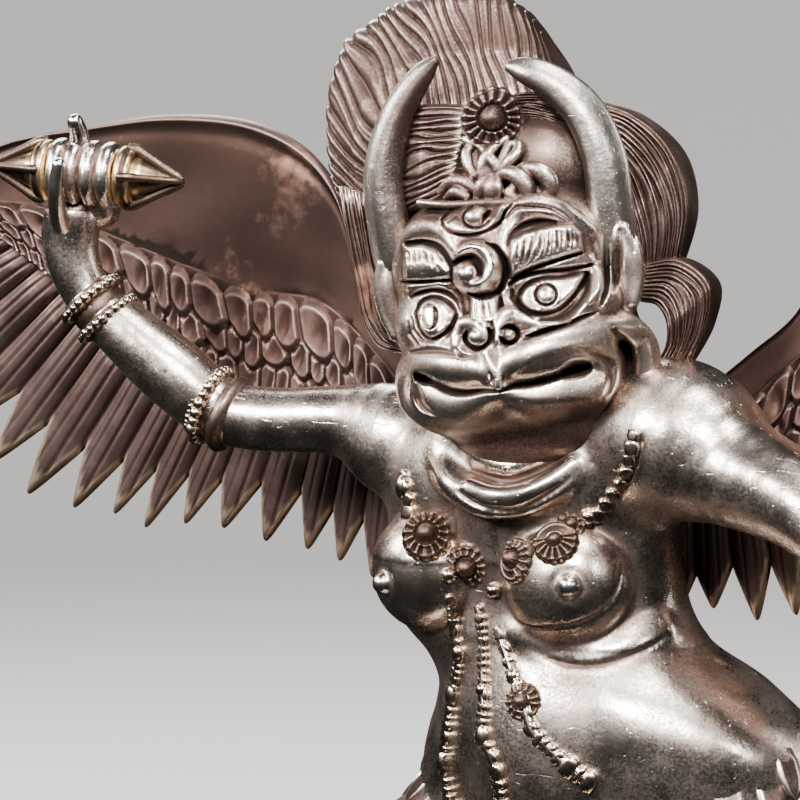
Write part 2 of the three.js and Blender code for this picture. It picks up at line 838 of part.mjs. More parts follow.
// Leading edge from the back outwards: across, back, height.
const WING_EDGE = canon([
  [3, 20.5, 158],
  [16, 19.5, 165],
  [30, 20, 174.5],
  [38, 21, 181],
  [46, 22, 188],
  [51, 23, 198],
  [56, 23.5, 211.4],
  [64, 24, 220],
  [78, 25, 226],
  [100, 26.5, 228],
  [122, 27, 226],
  [147, 27, 222],
  [162, 28, 214],
]);
// Where the small feathers begin, and where the long feathers leave them.
const WING_COVERTS = canon([
  [4, 19.5, 152],
  [22, 19.5, 158],
  [34, 20, 168],
  [49.6, 22, 182],
  [60.6, 24, 188.5],
  [77, 25, 190.5],
  [97, 26, 196],
  [116, 27, 202],
  [135, 27.5, 208],
  [156, 28, 210],
]);
const WING_PRIMARIES = canon([
  [4, 19.5, 144],
  [18, 19.5, 147],
  [30, 20, 152],
  [44, 21, 160],
  [58, 22.5, 166],
  [74, 24, 169],
  [93, 25.5, 173],
  [112, 27, 181],
  [130, 28, 191],
  [152, 29, 204],
]);
const WING_TIPS = canon([
  [5, 19.5, 134],
  [17, 20, 131],
  [31, 20.5, 130],
  [47, 21.5, 131.5],
  [66, 23, 137],
  [88, 24.5, 138],
  [112, 26, 138.5],
  [138, 28, 141],
  [158, 30, 153],
  [168, 31, 171],
  [170, 31, 188],
  [166, 31, 202],
]);
const NOTCH_SHARE = 0.66; // how far down a feather its neighbours' gap reaches
const BACK_FLATNESS = 0.5;

/** Rows of one wing column: place between the guide curves, and height above the plate. */
function wingRows(isQuill) {
  const quill = isQuill ? FEATHER_RIDGE : 0;
  const tipShare = isQuill ? 1 : NOTCH_SHARE;
  const lap = isQuill ? 0.2 : 0;
  return [
    { from: 0, to: 1, share: 0, height: 0 },
    { from: 0, to: 1, share: 0.05, height: RIM_HEIGHT },
    { from: 0, to: 1, share: 0.9, height: -0.8 },
    { from: 1, to: 2, share: 0, height: SCALE_STEP + quill },
    { from: 1, to: 2, share: 0.34 + lap, height: SCALE_STEP + quill },
    { from: 1, to: 2, share: 0.38 + lap, height: quill * 0.4 },
    { from: 1, to: 2, share: 0.8 + lap, height: SCALE_STEP + quill * 0.6 },
    { from: 1, to: 2, share: 0.86 + lap, height: quill * 0.4 },
    { from: 2, to: 3, share: 0.45 * tipShare, height: quill },
    { from: 2, to: 3, share: tipShare, height: quill * 0.3 },
  ];
}

function wing(side) {
  const guides = [WING_EDGE, WING_COVERTS, WING_PRIMARIES, WING_TIPS].map(
    (rows) =>
      new THREE.CatmullRomCurve3(
        rows.map(([x, y, z]) => new THREE.Vector3(side * x, y, z)),
        false,
        "centripetal",
      ),
  );
  const columns = WING_FEATHERS * 2;
  const backRows = [9, 1]; // the tip and the rim
  const rings = [];
  for (let column = 0; column <= columns; column++) {
    const t = column / columns;
    const isQuill = column % 2 === 1;
    const knots = guides.map((guide) => guide.getPointAt(t));
    const rows = wingRows(isQuill);
    const place = ({ from, to, share }) => knots[from].clone().lerp(knots[to], share);
    const front = rows.map((row) =>
      place(row).addScaledVector(Y, -WING_THICKNESS / 2 - row.height),
    );
    const back = backRows.map((row) => {
      const lift = WING_THICKNESS / 2 + (isQuill ? FEATHER_RIDGE * BACK_FLATNESS : 0);
      return place(rows[row]).addScaledVector(Y, lift);
    });
    rings.push([...front, ...back]);
  }
  return solidOf(loft(rings));
}

// Vajra: a short grip between two heads, each a four-sided pyramid of closed prongs.

const GRIP_LAP = 1; // the grip's run into each head

function vajraHead() {
  const start = VAJRA_GRIP_LENGTH / 2;
  // Share of the head's radius, share of its length.
  return [
    [0, 0],
    [0.95, 0],
    [1, 0.08],
    [0.93, 0.18],
    [0.2, 1],
    [0, 1],
  ].map(([r, h]) => [r * VAJRA_HEAD_RADIUS, start + h * VAJRA_HEAD_LENGTH]);
}

function vajra() {
  const reach = VAJRA_GRIP_LENGTH / 2 + GRIP_LAP;
  const profile = [
    [0, -reach],
    [VAJRA_GRIP_RADIUS, -reach],
    [VAJRA_GRIP_RADIUS, reach],
    [0, reach],
  ];
  const grip = turned(profile, RIGHT_FIST, GRIP_HEADING, 12);
  const heads = [1, -1].map((end) =>
    turned(vajraHead(), RIGHT_FIST, GRIP_HEADING.clone().multiplyScalar(end), 4),
  );
  return join([grip, ...heads]);
}

// Plinth: an oval lotus base under the footprint of both feet.

const TOE_REACH = Math.max(...TOES.map(([, length]) => length)) * PART;
const HIND_REACH = TOES[TOES.length - 1][1] * PART;
const FEET = LEGS.map(({ foot }) => canon([foot])[0]);
const FOOT_CENTRE_X = (FEET[0][0] + FEET[1][0]) / 2;
const FOOT_CENTRE_Y = FEET[0][1] + (HIND_REACH - TOE_REACH) / 2;
const OUTER_TOE_REACH = TOE_REACH * 0.7; // the outer toe runs aslant
const PLINTH_HALF_LENGTH = Math.abs(FEET[0][0] - FEET[1][0]) / 2 + OUTER_TOE_REACH + PLINTH_MARGIN;
const PLINTH_HALF_WIDTH = (TOE_REACH + HIND_REACH) / 2 + PLINTH_MARGIN;
const PLINTH_FULLNESS = 2.2;
const PETAL_SINK = 0.6; // the share of a petal's depth that its seam lies below the outline

function plinth() {
  const perPetal = 3;
  const count = PETALS * perPetal;
  // Share of the height, reach beyond the top's outline, share of the petals' depth.
  const levels = [
    [0, PLINTH_FOOT_FLARE, 0],
    [0.17, PLINTH_FOOT_FLARE, 0],
    [0.24, PLINTH_FOOT_FLARE * 0.5, 1],
    [0.54, PLINTH_FOOT_FLARE * 0.7, 1.15],
    [0.82, -PLINTH_FOOT_FLARE * 0.3, 0],
    [0.88, 0, 0],
    [1, 0, 0],
  ];
  const rings = levels.map(([share, reach, petal]) => {
    const centre = new THREE.Vector3(0, 0, share * PLINTH_HEIGHT);
    const a = PLINTH_HALF_LENGTH + reach;
    const b = PLINTH_HALF_WIDTH + reach;
    return oval(centre, X, Y, a, b, count, PLINTH_FULLNESS).map((point, i) => {
      const swell = Math.abs(Math.sin((Math.PI * i) / perPetal)) * petal * PETAL_DEPTH;
      const out = new THREE.Vector3(point.x / a ** 2, point.y / b ** 2, 0).normalize();
      return point.addScaledVector(out, swell - petal * PETAL_DEPTH * PETAL_SINK);
    });
  });
  return solidOf(loft(rings));
}

// Finishes: silver worn over brown bronze, and a browner bronze on the wings and the plinth.

const silver = new THREE.MeshStandardMaterial({ color: 0xa79c92, roughness: 0.36, metalness: 1 });
const bronze = new THREE.MeshStandardMaterial({ color: 0x5e4a43, roughness: 0.5, metalness: 1 });
const brass = new THREE.MeshStandardMaterial({ color: 0x9c7a4c, roughness: 0.4, metalness: 1 });

// The whole work.

const garuda = new THREE.Group();
const standing = new THREE.Group();
standing.position.set(-FOOT_CENTRE_X, -FOOT_CENTRE_Y, PLINTH_HEIGHT + SEAT_GAP);
const seat = solidOf(torso(SEAT_GAP)); // each wing is cut to lie against the back
standing.add(meshOf("figure", figure(), silver));
standing.add(meshOf("wing_right", wing(-1).subtract(seat), bronze));
standing.add(meshOf("wing_left", wing(1).subtract(seat), bronze));
standing.add(meshOf("vajra", vajra(), brass));
garuda.add(standing);
garuda.add(meshOf("plinth", plinth(), bronze));

export default garuda;
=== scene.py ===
"""The looks of a cast garuda figure: silver plate rubbed through to brown bronze, on its lotus plinth.

Lengths are millimetres while a piece is modelled and metres once it is a mesh. The figure is
modelled in its own frame, whose ground is the plinth's top, and the head in one of its own.
"""

import logging
import math
from dataclasses import dataclass, field
from enum import Enum
from typing import Callable, Optional, Sequence

import bpy
import numpy as np
import openvdb
from mathutils import Matrix, Vector


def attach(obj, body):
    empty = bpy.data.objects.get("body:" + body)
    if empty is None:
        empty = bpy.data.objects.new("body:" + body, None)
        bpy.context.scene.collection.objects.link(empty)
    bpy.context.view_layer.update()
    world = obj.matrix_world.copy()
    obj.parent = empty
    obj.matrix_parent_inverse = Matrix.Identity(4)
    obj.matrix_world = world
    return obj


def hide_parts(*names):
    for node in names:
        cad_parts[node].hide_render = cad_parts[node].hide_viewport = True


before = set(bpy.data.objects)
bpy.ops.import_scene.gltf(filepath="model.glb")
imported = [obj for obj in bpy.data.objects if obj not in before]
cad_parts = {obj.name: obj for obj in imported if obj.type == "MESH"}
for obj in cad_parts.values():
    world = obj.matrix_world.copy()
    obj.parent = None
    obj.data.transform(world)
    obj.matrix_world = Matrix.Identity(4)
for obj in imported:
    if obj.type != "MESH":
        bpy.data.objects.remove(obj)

LOG = logging.getLogger("garuda")
Array = np.ndarray
Rows = Sequence[Sequence[float]]
Mesh = bpy.types.Mesh
Thing = bpy.types.Object
Tree = bpy.types.NodeTree
Node = bpy.types.Node
Socket = bpy.types.NodeSocket
MM = 0.001
STANDING = np.array((-5.5, 1.0, 29.3))  # the figure's frame in the plinth's
SOLID = np.float32


# Curves and tables.


def hermite(rows: Rows, places: Array) -> Array:
    """Values of a table between its rows, by smooth curves.

    Args:
        rows: rows whose first value rises.
        places: where to read the table, in the first column's units.

    Returns:
        One row of the other columns for each place.
    """
    table = np.asarray(rows, float)
    key, values = table[:, 0], table[:, 1:]
    places = np.clip(np.asarray(places, float), key[0], key[-1])
    slopes = np.empty_like(values)
    slopes[1:-1] = (values[2:] - values[:-2]) / (key[2:] - key[:-2])[:, None]
    slopes[0] = (values[1] - values[0]) / (key[1] - key[0])
    slopes[-1] = (values[-1] - values[-2]) / (key[-1] - key[-2])
    i = np.clip(np.searchsorted(key, places, side="right") - 1, 0, len(key) - 2)
    span = (key[i + 1] - key[i])[:, None]
    t = ((places - key[i]) / span[:, 0])[:, None]
    rise = 3 * t**2 - 2 * t**3
    leave = t**3 - 2 * t**2 + t
    arrive = t**3 - t**2
    return (
        values[i] + (values[i + 1] - values[i]) * rise
        + slopes[i] * span * leave + slopes[i + 1] * span * arrive
    )


def smooth_path(rows: Rows, count: int) -> Array:
    """A smooth path through points, with anything else in their rows carried along.

    Args:
        rows: x, y, z and further values of each point.
        count: how many points the path gets.

    Returns:
        The path's rows, evenly shared between the given points.
    """
    points = np.asarray(rows, float)
    last = len(points) - 1
    steps = np.maximum(np.linalg.norm(np.diff(points[:, :3], axis=0), axis=1), 1e-6) ** 0.5
    places = np.linspace(0, last, count)
    i = np.minimum(places.astype(int), last - 1)
    t = (places - i)[:, None]
    before, after = np.maximum(i - 1, 0), np.minimum(i + 2, last)
    p0 = np.where((i > 0)[:, None], points[before], 2 * points[i] - points[i + 1])
    p3 = np.where((i + 2 <= last)[:, None], points[after], 2 * points[i + 1] - points[i])
    p1, p2 = points[i], points[i + 1]
    d1 = steps[i][:, None]
    d0 = np.where(i > 0, steps[before], steps[i])[:, None]
    d2 = np.where(i + 2 <= last, steps[np.minimum(i + 1, last - 1)], steps[i])[:, None]
    t1 = ((p1 - p0) / d0 - (p2 - p0) / (d0 + d1) + (p2 - p1) / d1) * d1
    t2 = ((p2 - p1) / d1 - (p3 - p1) / (d1 + d2) + (p3 - p2) / d2) * d1
    c2 = -3 * p1 + 3 * p2 - 2 * t1 - t2
    c3 = 2 * p1 - 2 * p2 + t1 + t2
    return p1 + t1 * t + c2 * t**2 + c3 * t**3


def even_path(rows: Rows, shares: Array) -> Array:
    """Points of a smooth path at shares of its length."""
    dense = smooth_path(rows, 400)
    along = np.concatenate(
        ([0.0], np.cumsum(np.linalg.norm(np.diff(dense[:, :3], axis=0), axis=1)))
    )
    at = np.asarray(shares, float) * along[-1]
    return np.stack([np.interp(at, along, dense[:, k]) for k in range(dense.shape[1])], axis=-1)


def unit(vectors: Array) -> Array:
    """Vectors of length one."""
    vectors = np.asarray(vectors, float)
    return vectors / np.maximum(np.linalg.norm(vectors, axis=-1, keepdims=True), 1e-9)


def step_up(values: Array, low: float, high: float) -> Array:
    """A smooth rise from 0 at low to 1 at high."""
    t = np.clip((values - low) / (high - low), 0, 1)
    return t * t * (3 - 2 * t)


# Where the camera stands, and its sight lines.


@dataclass(frozen=True)
class Sight:
    """The camera, by its turn round the figure and its drop, and the picture of 800 units a side."""

    turn: float = math.radians(30)
    drop: float = math.radians(4)
    away: float = 500.0
    grain: float = 0.19  # one unit of the picture at the figure, in millimetres
    height: float = 171.2
    aside: float = -24.13
    middle: float = 400.0
    film: float = 36.0

    @property
    def right(self) -> Array:
        """The picture's rightward direction."""
        return np.array((math.cos(self.turn), math.sin(self.turn), 0.0))

    @property
    def back(self) -> Array:
        """The direction from the figure to the eye."""
        level = math.cos(self.drop)
        return np.array(
            (math.sin(self.turn) * level, -math.cos(self.turn) * level, math.sin(self.drop))
        )

    @property
    def up(self) -> Array:
        """The picture's upward direction."""
        return np.cross(self.back, self.right)

    @property
    def target(self) -> Array:
        """The point at the picture's middle, in the figure's frame."""
        return np.array((0.0, 0.0, self.height)) + self.aside * self.right

    @property
    def eye(self) -> Array:
        """The eye's place, in the figure's frame."""
        return self.target + self.away * self.back


SIGHT = Sight()


class Facing:
    """How a piece with a frame of its own is seen: sight lines and picture places in its frame."""

    def __init__(self, origin: Sequence[float] = (0, 0, 0), axes: Optional[Array] = None) -> None:
        """Keeps the frame's origin and its turn to the figure's frame."""
        self.axes = np.eye(3) if axes is None else np.asarray(axes)
        self.origin = np.asarray(origin, float)
        self.eye = (SIGHT.eye - self.origin) @ self.axes
        self.right, self.up, self.back = (v @ self.axes for v in (SIGHT.right, SIGHT.up, SIGHT.back))

    def place(self, points: Array) -> Array:
        """Points of the piece's frame in the plinth's frame."""
        return np.asarray(points) @ self.axes.T + self.origin + STANDING

    def at(self, across: float, down: float, depth: float) -> Array:
        """Where a sight line crosses the frame's plane of one y value."""
        way = (
            -self.back * SIGHT.away
            + self.right * (across - SIGHT.middle) * SIGHT.grain
            + self.up * (SIGHT.middle - down) * SIGHT.grain
        )
        return self.eye + way * (depth - self.eye[1]) / way[1]

    def flat(self, x: Array, y: Array, z: Array) -> tuple[Array, Array]:
        """The picture places of points."""
        dx, dy, dz = (v - SOLID(e) for v, e in zip((x, y, z), self.eye))
        along = lambda way: dx * SOLID(way[0]) + dy * SOLID(way[1]) + dz * SOLID(way[2])
        scale = SOLID(-SIGHT.away / SIGHT.grain) / along(self.back)
        return SIGHT.middle + along(self.right) * scale, SIGHT.middle - along(self.up) * scale


# Clay: solids held as distances on a grid, so that forms join and cut softly.


def soft_min(a: Array, b: Array, blend: float) -> Array:
    """The smaller of two distances, rounded where they meet."""
    if blend <= 0:
        return np.minimum(a, b)
    h = np.clip(0.5 + 0.5 * (b - a) / blend, 0, 1)
    return b + (a - b) * h - blend * h * (1 - h)


@dataclass
class Egg:
    """An egg of three half sizes, turned by the rows of axes."""

    centre: Sequence[float]
    sizes: Sequence[float]
    axes: Optional[Array] = None

    def box(self) -> tuple[Array, Array]:
        """Its lowest and highest corners."""
        centre, reach = np.asarray(self.centre, float), float(max(self.sizes))
        if self.axes is None:
            return centre - np.asarray(self.sizes), centre + np.asarray(self.sizes)
        return centre - reach, centre + reach

    def distance(self, x: Array, y: Array, z: Array) -> Array:
        """Signed distance at each grid point."""
        offset = [x - SOLID(self.centre[0]), y - SOLID(self.centre[1]), z - SOLID(self.centre[2])]
        if self.axes is not None:
            turn = np.asarray(self.axes, SOLID)
            offset = [sum(row[k] * offset[k] for k in range(3)) for row in turn]
        near = sum((v / SOLID(s)) ** 2 for v, s in zip(offset, self.sizes))
        steep = sum((v / SOLID(s * s)) ** 2 for v, s in zip(offset, self.sizes))
        k0 = np.sqrt(near)
        return k0 * (k0 - 1) / np.maximum(np.sqrt(steep), SOLID(1e-4))


@dataclass
class Tube:
    """A tapering tube through rows of x, y, z and radius, thinner along Y if flat is below 1."""

    rows: Rows
    count: int = 24
    flat: float = 1.0
    path: Array = field(init=False)

    def __post_init__(self) -> None:
        """Lays out the tube's path."""
        self.path = smooth_path(self.rows, self.count)

    def box(self) -> tuple[Array, Array]:
        """Its lowest and highest corners."""
        reach = self.path[:, 3].max()
        return self.path[:, :3].min(0) - reach, self.path[:, :3].max(0) + reach

    def distance(self, x: Array, y: Array, z: Array) -> Array:
        """Signed distance at each grid point."""
        out = np.full((x.size, y.size, z.size), SOLID(Clay.FAR))
        squeeze = SOLID(1 / self.flat**2 - 1)
        for start, end in zip(self.path[:-1], self.path[1:]):
            reach = max(start[3], end[3]) + Clay.FAR
            low = np.minimum(start[:3], end[:3]) - reach
            high = np.maximum(start[:3], end[:3]) + reach
            cut = tuple(
                slice(*np.searchsorted(axis.ravel(), (low[k], high[k])))
                for k, axis in enumerate((x, y, z))
            )
            if any(s.stop <= s.start for s in cut):
                continue
            dx = x[cut[0]] - SOLID(start[0])
            dy = y[:, cut[1]] - SOLID(start[1])
            dz = z[:, :, cut[2]] - SOLID(start[2])
            along = (end[:3] - start[:3]).astype(SOLID)
            length = SOLID(max(float(along @ along), 1e-9))
            t = np.clip((dx * along[0] + dy * along[1] + dz * along[2]) / length, 0, 1)
            vx, vy, vz = dx - t * along[0], dy - t * along[1], dz - t * along[2]
            square = vx * vx + vy * vy + vz * vz
            if squeeze > 0:
                square = square + squeeze * vy**2
            radius = SOLID(start[3]) + t * SOLID(end[3] - start[3])
            out[cut] = np.minimum(out[cut], np.sqrt(square) - radius)
        return out


@dataclass
class Stack:
    """A trunk or skull: rows of height, half width, half depth, centre across and centre back."""

    rows: Rows
    fullness: float

    def box(self) -> tuple[Array, Array]:
        """Its lowest and highest corners."""
        t = np.asarray(self.rows, float)
        low = ((t[:, 3] - t[:, 1]).min(), (t[:, 4] - t[:, 2]).min(), t[0, 0])
        high = ((t[:, 3] + t[:, 1]).max(), (t[:, 4] + t[:, 2]).max(), t[-1, 0])
        return np.array(low), np.array(high)

    def distance(self, x: Array, y: Array, z: Array) -> Array:
        """Signed distance at each grid point."""
        a, b, cx, cy = (v.reshape(1, 1, -1).astype(SOLID) for v in hermite(self.rows, z.ravel()).T)
        u, v = np.abs((x - cx) / a), np.abs((y - cy) / b)
        out = (u**self.fullness + v**self.fullness) ** SOLID(1 / self.fullness)
        radial = np.sqrt((x - cx) ** 2 + (y - cy) ** 2)
        side = np.where(out > 1e-3, radial * (1 - 1 / np.maximum(out, 1e-3)), -np.minimum(a, b))
        ends = np.maximum(SOLID(self.rows[0][0]) - z, z - SOLID(self.rows[-1][0]))
        return -soft_min(-side, -ends, 3.0)


class Clay:
    """A block of clay: signed distances on a regular grid, negative inside."""

    FAR = 4.0

    def __init__(self, low: Sequence[float], high: Sequence[float], pitch: float,
                 facing: Facing, firm: float = 1.0) -> None:
        """Makes an empty block between two corners, with how firmly its lines are cut."""
        self.facing = facing
        self.firm = firm
        self.low = np.asarray(low, float)
        self.pitch = pitch
        counts = np.ceil((np.asarray(high, float) - self.low) / pitch).astype(int) + 1
        self.d = np.full(tuple(counts), SOLID(self.FAR))

    def window(self, low: Array, high: Array) -> tuple[tuple[slice, ...], list[Array]]:
        """The slices of a box and the coordinates of its grid points, ready to broadcast."""
        start = np.maximum(np.floor((low - self.low) / self.pitch).astype(int), 0)
        stop = np.minimum(np.ceil((high - self.low) / self.pitch).astype(int) + 1, self.d.shape)
        stop = np.maximum(stop, start)
        axes = []
        for k in range(3):
            shape = [1, 1, 1]
            shape[k] = -1
            line = self.low[k] + self.pitch * np.arange(start[k], stop[k])
            axes.append(line.astype(SOLID).reshape(shape))
        return tuple(slice(a, b) for a, b in zip(start, stop)), axes

    def add(self, shape: "Egg | Tube | Stack", blend: float = 1.0) -> None:
        """Joins a shape on, with a fillet about as wide as blend."""
        low, high = shape.box()
        margin = blend + 3 * self.pitch + 1.0
        cut, axes = self.window(low - margin, high + margin)
        self.d[cut] = soft_min(self.d[cut], shape.distance(*axes), blend)

    def carve(self, shape: "Egg | Tube | Stack", blend: float = 0.4) -> None:
        """Cuts a shape out, with edges rounded by about blend."""
        low, high = shape.box()
        margin = blend + 3 * self.pitch
        cut, axes = self.window(low - margin, high + margin)
        self.d[cut] = -soft_min(-self.d[cut], shape.distance(*axes), blend)

    def spot(self, across: float, down: float, lift: float = 0.0) -> Array:
        """The point on the clay at a picture place."""
        return self.on([(across, down, 0.0, lift)])[0, :3]

    def outward(self, point: Array) -> Array:
        """The outward direction at one point."""
        return self.normals(point[None])[0]

    def roll(self, rows: Rows, blend: float, count: int = 24) -> None:
        """Lays a roll on the clay through rows of picture place, radius and lift."""
        self.add(Tube(self.on(rows), count), blend)

    def knob(self, across: float, down: float, sizes: Sequence[float], lift: float,
             blend: float) -> None:
        """Sets an egg on the clay at a picture place, its second size towards the eye."""
        spot = self.spot(across, down)
        out = unit(0.5 * self.outward(spot) + self.facing.back)
        side = unit(np.cross(out, (0, 0, 1)))
        self.add(Egg(spot + lift * out, sizes, np.stack([side, out, np.cross(side, out)])), blend)

    def before(self, places: Array, margin: float, near: tuple[float, float]
               ) -> tuple[tuple[slice, ...], list[Array]]:
        """The window of the clay that some picture places cover, between two y values."""
        corners = [self.facing.at(x, y, d) for x, y in places for d in near]
        low, high = np.min(corners, 0) - margin, np.max(corners, 0) + margin
        low[1], high[1] = near
        return self.window(low, high)

    @staticmethod
    def beside(across: Array, down: Array, start: Array, end: Array) -> tuple[Array, Array]:
        """How far along a picture line each place lies, from 0 to 1, and how far beside it."""
        run, fall = end[0] - start[0], end[1] - start[1]
        length = SOLID(max(run**2 + fall**2, 1e-9))
        t = np.clip(((across - start[0]) * run + (down - start[1]) * fall) / length, 0, 1)
        return t, np.hypot(across - start[0] - t * run, down - start[1] - t * fall)

    def chase(self, rows: Rows, depth: float, width: float, soft: bool = False,
              near: tuple[float, float] = (-30.0, 4.0), count: int = 0) -> None:
        """Cuts a line into the front, or raises it where depth is negative.

        Args:
            rows: picture places and an optional share of the depth and the width at each.
            depth: how deep, in millimetres.
            width: the half width, in millimetres.
            soft: whether its sides are rounded rather than straight.
            near: the y values that it may touch.
            count: how many pieces its smooth path gets, or straight lines for 0.
        """
        table = np.array([list(row) + [1.0] * (3 - len(row)) for row in rows], float)
        if depth > 0:
            depth, width = depth * self.firm, width * self.firm**0.5
        if count:
            flat = np.insert(table, 2, 0.0, axis=1)
            table = np.delete(smooth_path(flat, count), 2, axis=1)
        cut, axes = self.before(table[:, :2], width + 1.0, near)
        across, down = self.facing.flat(*axes)
        best = np.zeros(np.broadcast(across, down).shape, SOLID)
        half = width / SIGHT.grain
        for start, end in zip(table[:-1], table[1:]):
            t, gap = self.beside(across, down, start, end)
            share = start[2] + t * (end[2] - start[2])
            q = np.clip(1 - gap / (half * np.maximum(share, 0.05)), 0, 1)
            best = np.maximum(best, share * (q * q * (3 - 2 * q) if soft else q))
        self.d[cut] += SOLID(depth) * best.astype(SOLID)

    def plate(self, outline: Rows, height: float, edge: float,
              near: tuple[float, float] = (-30.0, 4.0)) -> None:
        """Raises the front inside an outline, or sinks it where height is negative.

        Args:
            outline: picture places round the plate.
            height: how far it is raised, in millimetres.
            edge: how wide its slope is, in millimetres.
            near: the y values that it may touch.
        """
        table = np.array(outline, float)
        cut, axes = self.before(table, edge + 1.0, near)
        across, down = self.facing.flat(*axes)
        inside = np.zeros(across.shape, bool)
        gap = np.full(across.shape, SOLID(1e6))
        for (x0, y0), (x1, y1) in zip(table, np.roll(table, -1, axis=0)):
            gap = np.minimum(gap, self.beside(across, down, (x0, y0), (x1, y1))[1])
            if y0 != y1:
                crosses = ((y0 > down) != (y1 > down)) & (
                    across < (x1 - x0) * (down - y0) / SOLID(y1 - y0) + x0
                )
                inside ^= crosses
        share = np.clip(0.5 + np.where(inside, gap, -gap) * SOLID(SIGHT.grain / edge), 0, 1)
        self.d[cut] -= SOLID(height) * (share * share * (3 - 2 * share)).astype(SOLID)

    def blurred(self, radius: float) -> Array:
        """The distances averaged over a cube of about that half size."""
        out = self.d
        n = max(int(round(radius / self.pitch)), 1)
        for axis in range(3):
            pad = [(0, 0)] * 3
            pad[axis] = (n + 1, n)
            total = np.cumsum(np.pad(out, pad, mode="edge"), axis=axis, dtype=np.float64)
            high = np.take(total, range(2 * n + 1, total.shape[axis]), axis=axis)
            low = np.take(total, range(0, total.shape[axis] - 2 * n - 1), axis=axis)
            out = ((high - low) / (2 * n + 1)).astype(SOLID)
        return out

    def read(self, values: Array, points: Array) -> Array:
        """Grid values at free points, by straight-line mixing."""
        place = (points - self.low) / self.pitch
        place = np.clip(place, 0, np.array(self.d.shape) - 1.001)
        base = place.astype(int)
        t = place - base
        out = np.zeros(len(points))
        for corner in range(8):
            step = np.array([(corner >> k) & 1 for k in range(3)])
            weight = np.prod(np.where(step, t, 1 - t), axis=1)
            i, j, k = (base + step).T
            out += weight * values[i, j, k]
        return out

    def normals(self, points: Array) -> Array:
        """Outward directions of the surface at points on it."""
        step = self.pitch
        slopes = [
            self.read(self.d, points + step * axis) - self.read(self.d, points - step * axis)
            for axis in np.eye(3)
        ]
        return unit(np.stack(slopes, axis=-1))

    def met(self, start: Array, heading: Array, reach: float = 60.0) -> Array:
        """Where lines from some points first meet the clay.

        Args:
            start: the points that the lines start from.
            heading: the directions that they run in.
            reach: how far they are followed.

        Returns:
            The meeting points, or a line's middle where it meets nothing.
        """
        start = np.atleast_2d(np.asarray(start, float))
        heading = np.broadcast_to(unit(heading), start.shape)
        steps = np.arange(0, reach, self.pitch / 2)
        found = start + heading * reach / 2
        for n, (origin, way) in enumerate(zip(start, heading)):
            line = origin + steps[:, None] * way
            depth = self.read(self.d, line)
            inside = np.flatnonzero(depth < 0)
            if len(inside) and inside[0] > 0:
                i = inside[0]
                share = depth[i - 1] / (depth[i - 1] - depth[i])
                found[n] = line[i - 1] + share * (line[i] - line[i - 1])
        return found

    def seen(self, rows: Rows, reach: float = 60.0) -> Array:
        """Rows moved along their sight lines on to the clay.

        Args:
            rows: x, y, z, radius and an optional lift off the clay.
            reach: how far a sight line is searched, with its middle at the given point.

        Returns:
            Rows of x, y, z and radius.
        """
        table = np.array([list(row) + [0.0] * (5 - len(row)) for row in rows], float)
        heading = unit(table[:, :3] - self.facing.eye)
        found = self.met(table[:, :3] - heading * reach / 2, heading, reach)
        found = found + self.normals(found) * table[:, 4:5]
        return np.concatenate([found, table[:, 3:4]], axis=1)

    def on(self, rows: Rows, depth: float = -12.0) -> Array:
        """Rows of picture place, radius and an optional lift, laid on the clay near one y value."""
        return self.seen([[*self.facing.at(x, y, depth), *rest] for x, y, *rest in rows], 90.0)

    def shell(self) -> tuple[Array, Array]:
        """The surface as points and four-sided faces that look outwards."""
        band = 3 * self.pitch
        grid = openvdb.FloatGrid(band)
        grid.copyFromArray(np.clip(self.d, -band, band), tolerance=0.0)
        points, _, quads = grid.convertToPolygons(isovalue=0.0, adaptivity=0.0)
        points = np.asarray(points, float) * self.pitch + self.low
        quads = np.asarray(quads, np.int64)
        return points, quads if volume_of(points, quads) > 0 else quads[:, ::-1]


# Meshes.


def volume_of(points: Array, faces: Array) -> float:
    """The volume inside faces of three or four corners, negative if they look inwards."""
    a, b, c = (points[faces[:, k]] for k in range(3))
    total = np.einsum("ij,ij->i", a, np.cross(b, c)).sum()
    if faces.shape[1] == 4:
        d = points[faces[:, 3]]
        total += np.einsum("ij,ij->i", a, np.cross(c, d)).sum()
    return float(total) / 6


class Parts:
    """Closed shells gathered in millimetres, which become one mesh."""

    def __init__(self) -> None:
        """Starts with no shell."""
        self.points: list[Array] = []
        self.faces: list[Array] = []
        self.count = 0

    def add(self, points: Array, faces: Array, turn_out: bool = True) -> None:
        """Adds a shell, turned outwards if it looks inwards.

        Args:
            points: its points, in millimetres of the plinth's frame.
            faces: its faces, all of three or all of four corners.
            turn_out: whether to turn the shell over if its volume is negative.
        """
        points, faces = np.asarray(points, float), np.asarray(faces, np.int64)
        if turn_out and volume_of(points, faces) < 0:
            faces = faces[:, ::-1]
        self.points.append(points)
        self.faces.append(faces + self.count)
        self.count += len(points)

    def add_mesh(self, mesh: Mesh) -> None:
        """Adds a mesh that is already outward, in metres."""
        mesh.calc_loop_triangles()
        faces = rows_of(mesh.loop_triangles, "vertices", 3, np.int64)
        self.add(points_of(mesh), faces, turn_out=False)

    def piece(self, name: str, fine: int, broad: int, most: int = 0,
              worn: Optional[Array] = None) -> Thing:
        """One object of all the shells.

        Args:
            name: its name.
            fine: how many rounds the value fine is smoothed over.
            broad: how many rounds the value broad is smoothed over.
            most: the most triangles it may keep, or 0 for all.
            worn: what is added to broad at each point, positive where it is rubbed, negative where it
                is dull and, on the horns, where shade is painted.

        Returns:
            The object, with its relief stored.
        """
        thing = object_of(name, mesh_of(name, np.concatenate(self.points), self.faces))
        if worn is not None:
            write_values(thing.data, "worn", worn)
        if most:
            thinned(thing, most)
        dress_relief(thing, fine, broad)
        return thing


